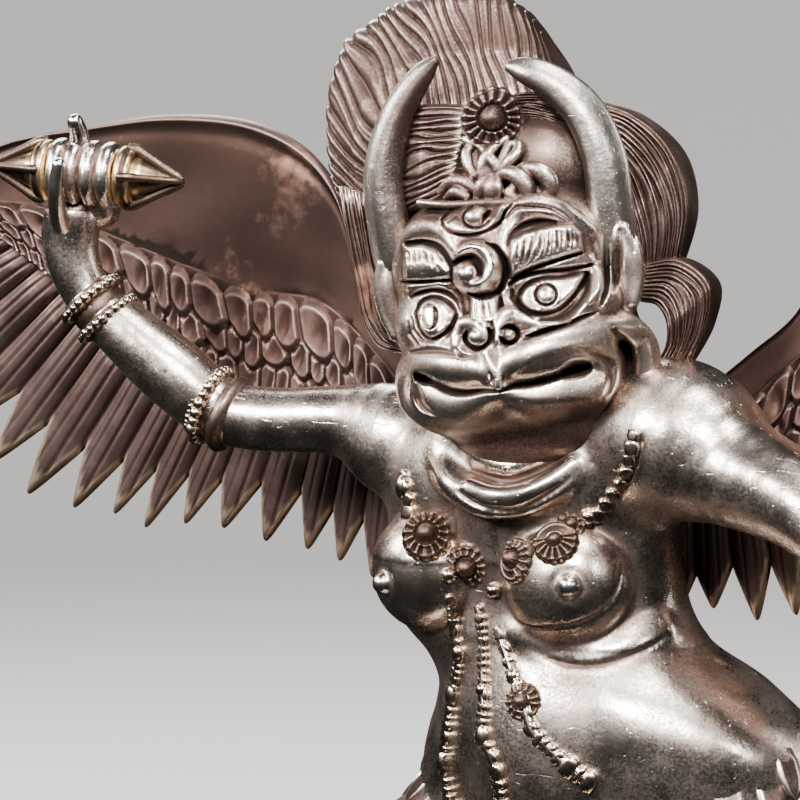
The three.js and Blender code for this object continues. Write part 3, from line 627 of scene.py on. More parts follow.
def mesh_of(name: str, points: Array, groups: Sequence[Array]) -> Mesh:
    """A mesh in metres.

    Args:
        name: its name.
        points: its points in millimetres.
        groups: arrays of faces, each array with one number of corners.

    Returns:
        The mesh, smooth-shaded.
    """
    mesh = bpy.data.meshes.new(name)
    loops = np.concatenate([group.ravel() for group in groups])
    sizes = np.concatenate([np.full(len(group), group.shape[1]) for group in groups])
    starts = np.concatenate(([0], np.cumsum(sizes)[:-1]))
    mesh.vertices.add(len(points))
    mesh.vertices.foreach_set("co", (points * MM).ravel())
    mesh.loops.add(len(loops))
    mesh.loops.foreach_set("vertex_index", loops)
    mesh.polygons.add(len(sizes))
    mesh.polygons.foreach_set("loop_start", starts)
    mesh.update(calc_edges=True)
    mesh.validate()
    mesh.polygons.foreach_set("use_smooth", np.ones(len(mesh.polygons), bool))
    return mesh


def object_of(name: str, data: bpy.types.ID) -> Thing:
    """A new object of a mesh, a light or a camera, at the origin."""
    thing = bpy.data.objects.new(name, data)
    bpy.context.scene.collection.objects.link(thing)
    return thing


def settled(thing: Thing) -> Thing:
    """Makes an object's modifiers part of its mesh and removes them."""
    graph = bpy.context.evaluated_depsgraph_get()
    mesh = bpy.data.meshes.new_from_object(thing.evaluated_get(graph))
    thing.modifiers.clear()
    old, thing.data = thing.data, mesh
    mesh.name = thing.name
    bpy.data.meshes.remove(old)
    return thing


def thinned(thing: Thing, most: int) -> Thing:
    """Brings a mesh down to about a number of triangles, where it is over it."""
    triangles = sum(len(p.vertices) - 2 for p in thing.data.polygons)
    if triangles <= most:
        return thing
    modifier = thing.modifiers.new("thin", "DECIMATE")
    modifier.ratio = most / triangles
    modifier.use_collapse_triangulate = True
    return settled(thing)


def rows_of(items: bpy.types.bpy_prop_collection, name: str, width: int, kind: type = float
            ) -> Array:
    """One property of all of a mesh's points, edges or triangles, as rows."""
    out = np.empty(len(items) * width, kind)
    items.foreach_get(name, out)
    return out.reshape(-1, width)


def points_of(mesh: Mesh) -> Array:
    """A mesh's points in millimetres."""
    return rows_of(mesh.vertices, "co", 3) / MM


def write_values(mesh: Mesh, name: str, values: Array) -> None:
    """Stores one number for each point."""
    layer = mesh.attributes.new(name, "FLOAT", "POINT")
    layer.data.foreach_set("value", np.asarray(values, np.float32))


def mesh_relief(mesh: Mesh, rounds: int) -> Array:
    """How far each point stands out of its smoothed surroundings, in millimetres.

    Args:
        mesh: the mesh to read.
        rounds: how many times the surroundings are smoothed.

    Returns:
        One value a point, positive on edges and negative in hollows.
    """
    points = points_of(mesh)
    a, b = rows_of(mesh.edges, "vertices", 2, np.int64).T
    share = 1 / np.maximum(np.bincount(np.r_[a, b], minlength=len(points)), 1)
    soft = points.copy()
    for _ in range(rounds):
        near = np.stack(
            [
                np.bincount(a, soft[b, k], len(points)) + np.bincount(b, soft[a, k], len(points))
                for k in range(3)
            ],
            axis=-1,
        )
        soft = 0.4 * soft + 0.6 * near * share[:, None]
    return np.einsum("ij,ij->i", points - soft, rows_of(mesh.vertex_normals, "vector", 3))


# The figure's body. A limb's rows are x, y, z and radius.

# Height, half width, half depth, centre across and centre back.
TRUNK = [
    [73, 15, 12, 15, 9], [79, 28, 20, 15, 10], [86, 37, 25, 15.5, 11.5], [94, 41, 27.5, 16, 12],
    [101, 41, 27, 16, 11], [107, 39.5, 26, 16.3, 9.8], [112, 36.5, 25, 15.5, 8.5],
    [117, 33, 23.6, 13, 7.5], [122, 30.6, 21.4, 8.3, 6.5], [127, 30.4, 19.4, 3, 5.6],
    [133, 30.4, 18, 0, 4.8], [141, 29.5, 17.5, 0, 3.5], [148, 29.5, 17.5, 0, 2.5],
    [156, 28, 16.5, 0, 0.5], [163, 23, 14, 0, -1], [169, 16, 12, 1, -3], [175, 12, 10, 1.5, -5],
    [181, 12, 10, 2, -6],
]
RIGHT_ARM = [
    [-17, 1, 160, 10], [-28, 1, 164.5, 8.6], [-43.5, -1, 165.8, 6.5], [-56, -3, 165.5, 6.2],
    [-67, -4, 167, 6.4], [-76, -7, 174, 7], [-86, -10, 182.5, 6], [-93.5, -12, 189.5, 4.9],
    [-97, -13.5, 198, 5.2], [-96.5, -14, 206, 5.6],
]
LEFT_ARM = [
    [16, 1, 161, 13], [31, -1, 166, 13.6], [44, -4.5, 160.5, 10.2], [59, -10, 155.8, 8.2],
    [74, -16, 149.5, 7.2], [82, -19.5, 157, 7.4], [89, -23, 167, 6.2], [93, -25, 175, 5.2],
    [95, -26, 183, 5.4], [94.5, -26, 191, 5.4],
]
GRIP = unit((0.947, 0.309, -0.086))
RIGHT_FIST = np.array((-91.4, -16.0, 214.6))
LEFT_FIST = np.array((91.0, -28.5, 197.0))
LEFT_GRIP = GRIP * (1, -1, -1)
BORE = 3.4


def limb_at(rows: Rows, share: float) -> tuple[Array, Array, float]:
    """A point of a limb's centre line, the way it runs there and its radius."""
    path = smooth_path(rows, 1001)
    i = int(round(share * 1000))
    i = min(max(i, 1), 999)
    return path[i, :3], unit(path[i + 1, :3] - path[i - 1, :3]), float(path[i, 3])


@dataclass
class Leg:
    """One leg: a feathered thigh, a ringed shank and a foot of four clawed toes."""

    thigh: list[list[float]]
    shank: list[list[float]]
    foot: tuple[float, float]
    turn: float
    toes: tuple[tuple[float, float], ...] = ((-0.11, 21), (0.0, 25), (0.11, 21), (0.5, 15))

    def shape(self, clay: Clay) -> None:
        """Models the leg into the body's clay."""
        clay.add(Tube(self.thigh, 24), 4)
        clay.add(Tube(self.shank, 24), 3)
        x, y = self.foot
        clay.add(Egg((x, y, 5), (6.4, 6.4, 5.6)), 2)
        for share, length in self.toes:
            self.toe(clay, self.turn + share * 2 * math.pi, length)
        self.scutes(clay)

    def toe(self, clay: Clay, angle: float, length: float) -> None:
        """One toe: two padded joints and a hooked claw with a groove round its root."""
        (x, y), way = self.foot, np.array((math.sin(angle), -math.cos(angle)))
        lay = lambda rows: [[x + way[0] * s * length, y + way[1] * s * length, z, r]
                            for s, z, r in rows]
        clay.add(Tube(lay([[0, 5, 4.2], [0.3, 4.6, 2.9], [0.42, 4.9, 3.3], [0.56, 4.4, 2.7],
                           [0.68, 4.7, 3.1], [0.76, 4.3, 2.6]]), 20), 1.0)
        claw = lay([[0.72, 4.6, 2.2], [0.86, 4.4, 1.9], [0.97, 2.6, 1.2], [1.03, 0.9, 0.5]])
        clay.add(Tube(claw, 12), 0.3)
        for share, height, radius in ((0.12, 5.2, 4.0), (0.2, 5, 3.6), (0.34, 4.7, 3.2),
                                      (0.5, 4.7, 3.1), (0.61, 4.6, 3.0), (0.75, 4.4, 2.8)):
            centre = np.array((x + way[0] * share * length, y + way[1] * share * length, height))
            ring_cut(clay, centre, np.array((way[0], way[1], 0.0)), radius, 0.35)

    def scutes(self, clay: Clay) -> None:
        """The overlapping rings down the shank."""
        path = smooth_path(self.shank, 12)
        for i in range(2, 11):
            ring_cut(clay, path[i, :3], unit(path[i] - path[i - 1])[:3], path[i, 3], 0.5)


LEGS = (
    Leg(
        thigh=[[35, 12, 110, 12], [40, 10, 96, 17], [49, 2, 78, 16.5], [55, -5, 62, 11.5],
               [55.5, -3, 52, 8]],
        shank=[[55, -4, 60, 7], [51, 0, 42, 5.6], [47, 4, 24, 4.8], [45, 5, 8, 6.2]],
        foot=(45, 4), turn=0.3,
    ),
    Leg(
        thigh=[[1, 12, 105, 10], [-6, 10, 91, 16], [-21, 3, 75, 16.5], [-35, -6, 60, 11.5],
               [-38, -5, 50, 8]],
        shank=[[-39.5, -6, 58, 7], [-37, -1, 41, 5.6], [-34.5, 4, 24, 4.8], [-34, 5, 8, 6.2]],
        foot=(-34, 4), turn=-0.3,
    ),
)


def circle(centre: Array, axis: Array, radius: float, tube: float, count: int = 24) -> list:
    """A closed circle of rows round an axis."""
    u = unit(np.cross(axis, (0.3, 0.2, 0.93)))
    v = np.cross(axis, u)
    rows = []
    for i in range(count + 1):
        angle = 2 * math.pi * i / count
        rows.append([*(centre + radius * (math.cos(angle) * u + math.sin(angle) * v)), tube])
    return rows


def ring_cut(clay: Clay, centre: Array, axis: Array, radius: float, tube: float) -> None:
    """Cuts a groove round a limb."""
    clay.carve(Tube(circle(centre, unit(axis), radius, tube), 30), 0.3)


@dataclass
class Fist:
    """A hand closed round a grip, its palm behind it and its fingertips in front."""

    centre: Array
    grip: Array
    wrist: Array
    side: int
    finger: float = 1.75
    fingers: int = 4

    def shape(self, clay: Clay) -> None:
        """Models the hand in its own clay."""
        up = unit(self.centre - self.wrist)
        back = unit(np.cross(self.grip, up))
        back = back if back[1] > 0 else -back
        up = unit(np.cross(back, self.grip))
        up = up if up[2] > 0 else -up
        at = lambda along, behind, high: self.centre + along * self.grip + behind * back + high * up
        wrist = self.wrist - 4 * unit(self.centre - self.wrist)
        clay.add(Tube([[*wrist, 5.2], [*self.wrist, 5.0], [*at(0, 2.5, -7.5), 4.6]], 12), 1)
        for along in (-4.2, 0, 4.2):
            clay.add(Tube([[*at(along * 0.6, 2.5, -9), 3.2], [*at(along, 5.0, -3), 2.7],
                           [*at(along, 5.4, 1.5), 2.2]], 12), 1.6)
        reach = BORE + self.finger
        for n in range(self.fingers):
            along = (n - (self.fingers - 1) / 2) * 2 * self.finger * 0.98
            rows = []
            for degrees in (-25, 20, 62, 104, 146, 188, 226):
                angle = math.radians(degrees)
                swell = 1.06 if degrees in (20, 104, 188) else 0.93
                rows.append([*at(along, reach * math.cos(angle), reach * math.sin(angle)),
                             self.finger * swell])
            clay.add(Tube(rows, 26), 0.25)
        for n in range(self.fingers + 1):
            along = (n - self.fingers / 2) * 2 * self.finger * 0.98
            rows = [[*at(along, (reach + 1.6) * math.cos(a), (reach + 1.6) * math.sin(a)), 0.42]
                    for a in np.radians((0, 45, 90, 135, 180, 225))]
            clay.carve(Tube(rows, 24), 0.3)
        thumb = [at(-3.6 * self.side, -1.0, -14.5), at(-4.0 * self.side, -5.4, -8.5),
                 at(-3.6 * self.side, -7.8, -1.5), at(-3.0 * self.side, -7.2, 4.2)]
        clay.add(Tube([[*p, r] for p, r in zip(thumb, (3.0, 2.1, 1.7, 1.5))], 18), 0.8)
        tip = [at(-1.2 * self.side, 0.4, 4.5), at(-1.0 * self.side, -0.2, 8.2),
               at(-1.4 * self.side, -1.0, 11.2)]
        clay.add(Tube([[*p, r] for p, r in zip(tip, (2.0, 1.9, 1.6))], 12), 0.8)
        bore = [[*(self.centre - 20 * self.grip), BORE], [*(self.centre + 20 * self.grip), BORE]]
        clay.carve(Tube(bore, 2), 0.2)


@dataclass
class Hands:
    """Both hands, each closed round a grip."""

    pitch: float = 0.3
    reach: float = 21.0
    most: int = 24000

    def build(self) -> list[Thing]:
        """The right hand and the left hand."""
        made = []
        for name, centre, grip, arm, side in (
            ("figure_hand_right", RIGHT_FIST, GRIP, RIGHT_ARM, 1),
            ("figure_hand_left", LEFT_FIST, LEFT_GRIP, LEFT_ARM, -1),
        ):
            clay = Clay(centre - self.reach, centre + self.reach, self.pitch, Facing())
            Fist(centre, grip, np.array(arm[-1][:3]), side).shape(clay)
            made.append(clay_mesh(name, clay, self.most))
        return made


@dataclass
class Body:
    """Trunk, arms and legs, in the figure's frame."""

    pitch: float = 0.5
    fullness: float = 2.25
    low: tuple[float, float, float] = (-104.0, -41.0, -0.2)
    high: tuple[float, float, float] = (103.0, 40.0, 207.0)
    most: int = 170000

    def clay(self) -> Clay:
        """Models the body without its ornaments."""
        clay = Clay(self.low, self.high, self.pitch, Facing())
        trunk = Stack(TRUNK, self.fullness)
        clay.add(trunk)
        self.breasts(clay)
        clay.add(Tube(RIGHT_ARM, 36), 6)
        clay.add(Tube(LEFT_ARM, 36), 6)
        self.throat(clay)
        self.flesh(clay)
        for leg in LEGS:
            leg.shape(clay)
        self.apron(clay)
        self.creases(clay)
        return clay

    def breasts(self, clay: Clay) -> None:
        """Two round breasts, each with its nipple in a ring."""
        for x, y, z, turn in ((-16.5, -9.6, 138.5, -0.34), (14.2, -10.2, 138.5, 0.24)):
            heading = unit((turn, -1, -0.06))
            side = unit(np.cross(heading, (0, 0, 1)))
            axes = np.stack([side, heading, np.cross(side, heading)])
            clay.add(Egg((x, y, z), (11.6, 9.4, 11.4), axes), 1.2)

    def throat(self, clay: Clay) -> None:
        """The heavy fold of skin that hangs round the throat."""
        fold = [[-14, -8, 163, 2.4], [-7, -16.3, 156.4, 2.9], [3, -19.0, 153.6, 3.1],
                [13, -15.3, 156.4, 2.9], [21, -7, 164, 2.4]]
        clay.add(Tube(fold, 24), 1.6)
        for rows, radius in (
            ([(478, 455), (507, 466), (535, 458), (562, 443)], 1.6),
            ([(470, 484), (492, 492), (516, 493), (545, 480), (572, 462)], 1.3),
        ):
            clay.add(Tube(clay.on([(x, y, radius, -0.6) for x, y in rows]), 20), 1.4)

    def flesh(self, clay: Clay) -> None:
        """Soft swellings: the shoulders, the flank's fold, the belly and the seat."""
        clay.add(Egg((31, -1, 164), (14.5, 12.5, 12.5)), 6)
        clay.add(Egg((-29, 1, 160), (9.5, 9, 8.5)), 5)
        fold = [(520, 634), (560, 650), (598, 653), (640, 640), (664, 628)]
        clay.add(Tube(clay.on([(x, y, 3.0, -2.0) for x, y in fold]), 20), 2.5)
        clay.add(Egg((12, -9, 106), (19, 9.5, 17)), 6)
        for x in (2, 30):
            clay.add(Egg((x, 29, 98), (15, 11, 16)), 4)
        spine = [[1, 23.4, 165, 1.2], [0, 23.8, 150, 1.6], [3, 25, 135, 1.6], [10, 28, 122, 1.4],
                 [15, 36, 110, 1.2]]
        clay.carve(Tube(spine, 20), 3.0)

    def apron(self, clay: Clay) -> None:
        """The short apron of feathers between the thighs."""
        for x, y, z, size in ((5, -11, 83, 5.2), (23, -11, 83, 5.2), (14, -12.5, 80, 6.6)):
            clay.add(Egg((x, y, z), (size, size * 0.75, size * 1.9)), 0.6)
            front = y - size * 0.75
            clay.carve(Tube([[x, front, z + 8, 0.5], [x, front - 0.3, z, 0.5],
                             [x, front + 1.6, z - size * 1.4, 0.4]], 12), 0.3)

    def creases(self, clay: Clay) -> None:
        """Grooves of the skin, cut along their lines as they are seen."""
        for rows, radius in (
            ([(470, 470), (507, 480), (535, 472), (566, 455)], 0.8),
            ([(456, 490), (482, 507), (516, 511), (550, 494), (592, 462)], 0.75),
            ([(640, 436), (634, 462), (622, 488), (598, 520)], 0.9),
            ([(621, 533), (622, 570), (610, 603), (582, 621), (550, 627), (516, 621), (498, 599)],
             0.42),
            ([(519, 645), (564, 663), (598, 665), (642, 651), (668, 636)], 0.55),
            ([(375, 566), (381, 601), (399, 621), (424, 628)], 0.55),
        ):
            path = smooth_path(clay.on([(x, y, radius) for x, y in rows]), 24)
            path[:, 3] *= np.sqrt(np.sin(np.linspace(0.12, math.pi - 0.12, 24)))
            clay.carve(Tube(path, 24), 0.3)
        for x, y in ((569, 586), (383, 583)):
            spot = clay.spot(x, y)
            out = clay.outward(spot)
            clay.add(Egg(spot, (2.1, 2.1, 2.1)), 0.4)
            clay.carve(Tube(circle(spot, out, 2.9, 0.42), 26), 0.4)


def clay_mesh(name: str, clay: Clay, most: int, share: float = 1.0,
              extra: Optional[Callable[[Array], Array]] = None) -> Thing:
    """A clay's surface as an object, with how far each point stands out stored on it.

    Args:
        name: the object's name.
        clay: the modelled clay.
        most: the most triangles it may keep.
        share: what the stored values are multiplied by.
        extra: what is added to the broad value at each point.

    Returns:
        The object, whose mesh carries the values fine and broad.
    """
    points, quads = clay.shell()
    thing = thinned(object_of(name, mesh_of(name, points, [quads])), most)
    mesh = thing.data
    points = points_of(mesh)
    for value, radius in (("fine", 0.7), ("broad", 2.2)):
        stands = share * clay.read(clay.blurred(radius) - clay.d, points)
        write_values(mesh, value, stands + extra(points) if extra and value == "broad" else stands)
    mesh.vertices.foreach_set("co", (clay.facing.place(points) * MM).ravel())
    mesh.update()
    return thing


# The head, in a frame of its own that is turned to the left and leans to the right.

# Height, half width, half depth, centre across and centre back.
SKULL = [
    [-25, 11, 9, 0, -3], [-22, 18, 15.5, 0, -2], [-17, 22.5, 19.5, 0, -0.5], [-11, 23.3, 20, 0, 0],
    [-5, 22, 19, 0, 0], [1, 22, 17.5, 0, 0.5], [8, 22.3, 18.5, 0, 0.5], [14, 21, 17.5, 0, 1.5],
    [19, 17, 14, 0, 2.5], [23, 9, 8, 0, 4],
]


def oval(x: float, y: float, wide: float, high: float, start: float = 0.0, end: float = 360.0,
         count: int = 25) -> list[tuple[float, float]]:
    """Picture places round an oval, or along a part of it, by angles from the right."""
    return [(x + wide * math.cos(a), y + high * math.sin(a))
            for a in np.radians(np.linspace(start, end, count))]


@dataclass
class Head:
    """The horned, beaked head with its third eye, curl, ears and the diadem's scrolls."""

    pitch: float = 0.25
    fullness: float = 2.3
    low: tuple[float, float, float] = (-31.0, -30.0, -36.0)
    high: tuple[float, float, float] = (31.0, 23.0, 42.0)
    most: int = 190000
    firm: float = 0.78
    at: tuple[float, float, float] = (0.8, -6.2, 190.3)
    turn: float = math.radians(10)
    lean: float = math.radians(-8.5)
    stands: float = 0.75
    crown: tuple[float, float] = (13.5, 17.5)
    # heights over which the painted shade under the chin fades out
    chin: tuple[float, float] = (-24, -17)

    def __post_init__(self) -> None:
        """Works out the turn from the head's frame to the figure's."""
        turn = Matrix.Rotation(self.turn, 3, "Z") @ Matrix.Rotation(self.lean, 3, "Y")
        self.facing = Facing(self.at, np.array(turn))

    def rows(self, table: Rows) -> list[list[float]]:
        """Rows of picture place, depth and further values as rows of x, y, z and the values."""
        return [[*self.facing.at(*row[:3]), *row[3:]] for row in table]

    def clay(self) -> Clay:
        """Models the head without its horns and hair."""
        clay = Clay(self.low, self.high, self.pitch, self.facing, self.firm)
        self.skull(clay)
        self.mouth(clay)
        self.nose(clay)
        self.forehead(clay)
        self.brows(clay)
        self.eyes(clay)
        self.curl(clay)
        self.third_eye(clay)
        self.ears(clay)
        self.diadem(clay)
        return clay

    def skull(self, clay: Clay) -> None:
        """The skull, the cheeks and the rounded cap over the crown."""
        clay.add(Stack(SKULL, self.fullness))
        clay.add(Egg((2, 8, 24), (16, 13, 14)), 2)
        clay.add(Egg((8.5, 1, 24), (11.5, 10, 10.5)), 1.5)
        for x in (-13.5, 15):
            clay.add(Egg((x, -9, -2), (7.5, 6.5, 5)), 3)

    def mouth(self, clay: Clay) -> None:
        """Jaw, the heavy rolled lips, the hooked beak and the folds round them."""
        clay.add(Egg((0.5, -5.5, -17.5), (20.5, 15, 7.5)), 3)
        clay.add(Egg((0.5, -9.5, -8.5), (16, 12, 6)), 3)
        clay.add(Egg((2, -2.0, -23), (17, 13, 9.5)), 3)
        for rows, blend in (
            ([(503, 390, -21.0, 2.2), (530, 400, -18.4, 3.2), (562, 398, -15.4, 3.5),
              (592, 389, -12.6, 3.4), (607, 372, -11, 3.2), (600, 352, -12.4, 3.0)], 2.2),
            ([(492, 391, -21.2, 2.0), (470, 402, -19.0, 3.0), (445, 401, -16.6, 3.2),
              (425, 388, -13.6, 2.6)], 2.0),
            ([(500, 380, -22.6, 1.6), (508, 366, -22.0, 2.8), (527, 357, -20.6, 3.9),
              (556, 348, -17.8, 4.4), (586, 341, -13.8, 4.2), (608, 336, -10.6, 3.6),
              (626, 334, -7.6, 3.0)], 1.4),
            ([(600, 333, -10, 2.2), (622, 326, -7, 2.6), (641, 343, -5.4, 2.9), (645, 370, -4.6, 2.9),
              (640, 394, -4.8, 2.8), (629, 414, -6.6, 2.5), (612, 430, -10, 1.6)], 1.2),
            ([(494, 380, -22.6, 1.6), (484, 370, -22.2, 2.6), (462, 368, -19.8, 3.5),
              (438, 366, -15.8, 3.6), (418, 366, -11.4, 3.0), (409, 380, -8.4, 2.6),
              (413, 402, -8.2, 2.4), (430, 418, -11, 1.8)], 1.4),
            ([(488, 340, -20.0, 2.6), (494, 356, -22.0, 2.6), (498, 374, -23.2, 2.1),
              (498.5, 386, -24.2, 1.2), (498, 391, -24.2, 0.5)], 0.8),
        ):
            clay.add(Tube(self.rows(rows), 32), blend)
        for rows, depth, width, soft in (
            ([(500, 391, 0.5), (514, 386, 0.8), (533, 383), (552, 378), (572, 370, 1.2),
              (584, 368, 0.8)],
             2.0, 1.1, True),
            ([(566, 373, 0.7), (577, 369, 1.1), (587, 367, 0.7)], 3.4, 2.4, True),
            ([(614, 330, 0.5), (622, 342), (627, 357), (627, 374), (624, 389), (616, 402, 0.8),
              (604, 415, 0.3)], 3.0, 2.3, True),
            ([(589, 352, 0.4), (607, 361), (612, 375), (609, 390, 0.8), (602, 399, 0.3)],
             0.9, 1.6, True),
            ([(512, 402, 0.3), (540, 413), (575, 412), (602, 404, 0.4)], 1.0, 3.4, True),
            ([(518, 343, 0.4), (534, 336), (550, 331), (569, 324), (583, 317, 0.8), (597, 312, 0.4)],
             1.3, 0.9, True),
            ([(520, 372, 0.4), (540, 364), (566, 356), (590, 348, 0.5)], 0.5, 2.2, True),
            ([(497, 391, 0.6), (483, 391, 0.8), (465, 393), (450, 391), (436, 384), (422, 377, 1.2),
              (415, 373, 0.6)], 1.8, 1.1, True),
            ([(431, 382, 0.6), (422, 379), (415, 375, 0.4)], 2.4, 1.5, True),
            ([(417, 372, 0.3), (416, 390), (423, 406), (436, 416, 0.3)], 1.2, 1.3, True),
            ([(462, 357, 0.4), (444, 352), (426, 351), (411, 353, 0.5)], 0.7, 1.2, True),
            ([(490, 343, 0.5), (494, 354), (497, 368, 0.3)], 1.3, 1.7, True),
            ([(488, 371, 0.2), (493, 380), (495, 389, 0.6)], 1.0, 0.7, True),
            ([(505, 372, 0.2), (503, 380), (502, 388, 0.6)], 1.0, 0.7, True),
        ):
            clay.chase(rows, depth, width, soft, count=28)

    def nose(self, clay: Clay) -> None:
        """The grooved bridge and the two hooked nostrils, one of them with a long tail."""
        clay.add(Tube([[0.2, -16.4, 4.4, 2.4], [0.2, -17.8, -0.5, 2.7], [0.5, -18.6, -3.5, 3.0],
                       [1.0, -19.4, -7.4, 2.7]], 18), 1.6)
        clay.plate([(471, 296), (497, 295), (498, 318), (491, 323), (471, 321)], 1.3, 0.9)
        for x, depth in ((475.5, 0.5), (483.5, 1.0), (490.5, 0.5)):
            clay.chase([(x - 0.8, 297, 0.6), (x, 308, 1), (x + 1, 317, 0.4)], depth, 0.5)
        for rows in ([(463, 296, 0.5), (463.5, 308), (468, 320), (478, 325, 0.5)],
                     [(500, 293, 0.5), (501, 305), (498, 316, 0.6)]):
            clay.chase(rows, 1.0, 0.9, True)
        for rows in (
            [(456, 346, 0.7, 0.2), (458, 335, 1.3, 0.2), (465, 327, 1.8, 0.2), (475, 325, 1.8, 0.2),
             (484, 330, 1.4, 0.2), (486, 338, 1.0, 0)],
            [(497, 340, 0.9, 0.2), (497, 329, 1.6, 0.2), (503, 320, 2.1, 0.2), (513, 318, 2.1, 0.2),
             (525, 322, 1.8, 0.2), (540, 325, 1.4, 0.1), (556, 324, 0.9, 0.1), (569, 321, 0.4, 0)],
        ):
            clay.roll(rows, 0.7)
        for rows, depth, width in (
            ([(467, 330, 0.4), (465, 338), (469, 345), (477, 349), (485, 346), (490, 338),
              (488, 328, 0.6)], 1.9, 0.75),
            ([(501, 329, 0.6), (508, 326), (515, 329), (518, 337), (512, 343), (504, 342),
              (500, 337, 0.7)], 1.9, 0.7),
            ([(522, 337, 0.3), (537, 333), (552, 328), (566, 324, 0.3)], 1.1, 0.8),
            ([(492, 322, 0.5), (493, 332), (493, 343, 0.6)], 1.0, 0.9),
            ([(457, 350, 0.4), (462, 356), (472, 356, 0.5)], 0.9, 0.9),
        ):
            clay.chase(rows, depth, width, True, count=24)
        clay.knob(478, 337, (1.7, 1.4, 1.5), 0.1, 0.3)
        clay.knob(509.5, 335.5, (1.2, 1.1, 1.1), 0.0, 0.2)

    def forehead(self, clay: Clay) -> None:
        """Frowning folds over both brows."""
        for rows in (
            [(505, 250, 1.2, -0.3), (510, 232, 1.7, -0.2), (520, 217, 2.0, 0), (535, 212, 2.2, 0.1),
             (550, 215, 2.0, 0), (566, 222, 1.2, -0.2)],
            [(512, 210, 1.2, -0.2), (530, 203, 1.6, 0), (552, 206, 1.8, 0), (572, 217, 1.6, -0.2),
             (590, 229, 1.0, -0.3)],
            [(409, 240, 1.8, -0.2), (421, 231, 2.4, 0), (436, 228, 2.4, 0), (448, 236, 1.8, -0.2),
             (455, 247, 1.2, -0.2)],
        ):
            clay.roll(rows, 1.8)
        for rows, depth, width in (
            ([(507, 246, 0.5), (513, 233), (524, 225), (541, 221), (556, 222, 0.5)], 1.1, 1.0),
            ([(507, 219, 0.4), (515, 208), (530, 207), (552, 210, 0.8), (570, 221, 0.3)], 0.7, 0.8),
            ([(407, 243), (424, 242), (438, 246), (447, 256), (452, 268, 0.8), (453, 279, 0.4)],
             1.1, 0.8),
            ([(606, 236, 0.5), (606, 262), (606, 288), (601, 304, 0.6)], 2.0, 1.1),
            ([(588, 232, 0.3), (592, 246), (598, 260, 0.5)], 0.5, 1.6),
            ([(446, 286, 0.4), (458, 292), (462, 304, 0.6)], 0.8, 1.0),
        ):
            clay.chase(rows, depth, width, True, count=20)
        clay.chase([(592, 256, 0.4), (599, 272), (599, 288), (590, 302, 0.5)], -1.0, 1.6, True)

    def brows(self, clay: Clay) -> None:
        """Two bushy brows, raised like plates and cut by short strokes."""
        clay.plate([(510, 257), (512, 241), (524, 233), (538, 229), (555, 226), (573, 226), (580, 233),
                    (582, 250), (564, 255), (546, 261), (528, 268), (512, 277)], 1.7, 1.1)
        clay.chase([(512, 260), (530, 249), (552, 241), (578, 238)], -0.6, 3.6, True)
        clay.plate([(404, 247), (422, 245), (435, 250), (444, 259), (451, 269), (451, 278), (434, 280),
                    (404, 281)], 1.6, 1.1)
        clay.chase([(404, 266), (425, 264), (447, 271, 0.6)], -0.6, 3.4, True)
        for low, high, deep in (
            ((513.7, 272), (518.5, 241), 1.0), ((518.8, 272), (525.6, 237), 1.3),
            ((524, 269), (531, 246), 1.1), ((529, 257), (534, 233), 0.8),
            ((533, 263), (536.5, 248), 0.7), ((538, 257), (542, 231), 1.1),
            ((543, 256), (546, 230), 0.7), ((547.5, 259), (549.5, 230), 1.0),
            ((552, 257), (553, 228), 0.7), ((556.5, 257), (557, 228), 1.3),
            ((562, 255), (561.5, 228), 0.7), ((568, 253), (568, 227), 1.4),
            ((573.5, 251), (572, 228), 0.8), ((578, 249), (576, 231), 0.7),
            ((409, 262), (407, 250), 0.6), ((415, 265), (413, 249), 0.7), ((428, 263), (423, 250), 1.1),
            ((433, 267), (430, 253), 0.7), ((443, 264), (437, 253), 1.2), ((447, 272), (443, 262), 0.6),
            ((420, 262), (418, 250), 0.6), ((438, 272), (436, 264), 0.5),
        ):
            middle = ((low[0] + high[0]) / 2 + 0.5, (low[1] + high[1]) / 2, 1.0)
            clay.chase([(*low, 0.35), middle, (*high, 0.3)], 0.95 * deep, 0.5)
        for rows, depth, width in (
            ([(509, 279, 0.8), (518, 274), (530, 269), (546, 264), (564, 258, 0.9), (582, 253, 0.5)],
             1.7, 0.6),
            ([(509, 284, 0.8), (519, 277), (533, 273), (550, 271.5, 1.1), (566, 270.5, 1.1),
              (580, 267.5), (595, 263.5, 0.4)], 2.0, 0.85),
            ([(404, 281.5), (425, 281), (450, 280, 0.6)], 1.2, 0.6),
            ([(411, 297, 0.5), (422, 292), (436, 290), (450, 294), (458, 302, 0.8), (460, 311, 0.4)],
             1.5, 0.8),
        ):
            clay.chase(rows, depth, width, count=24)

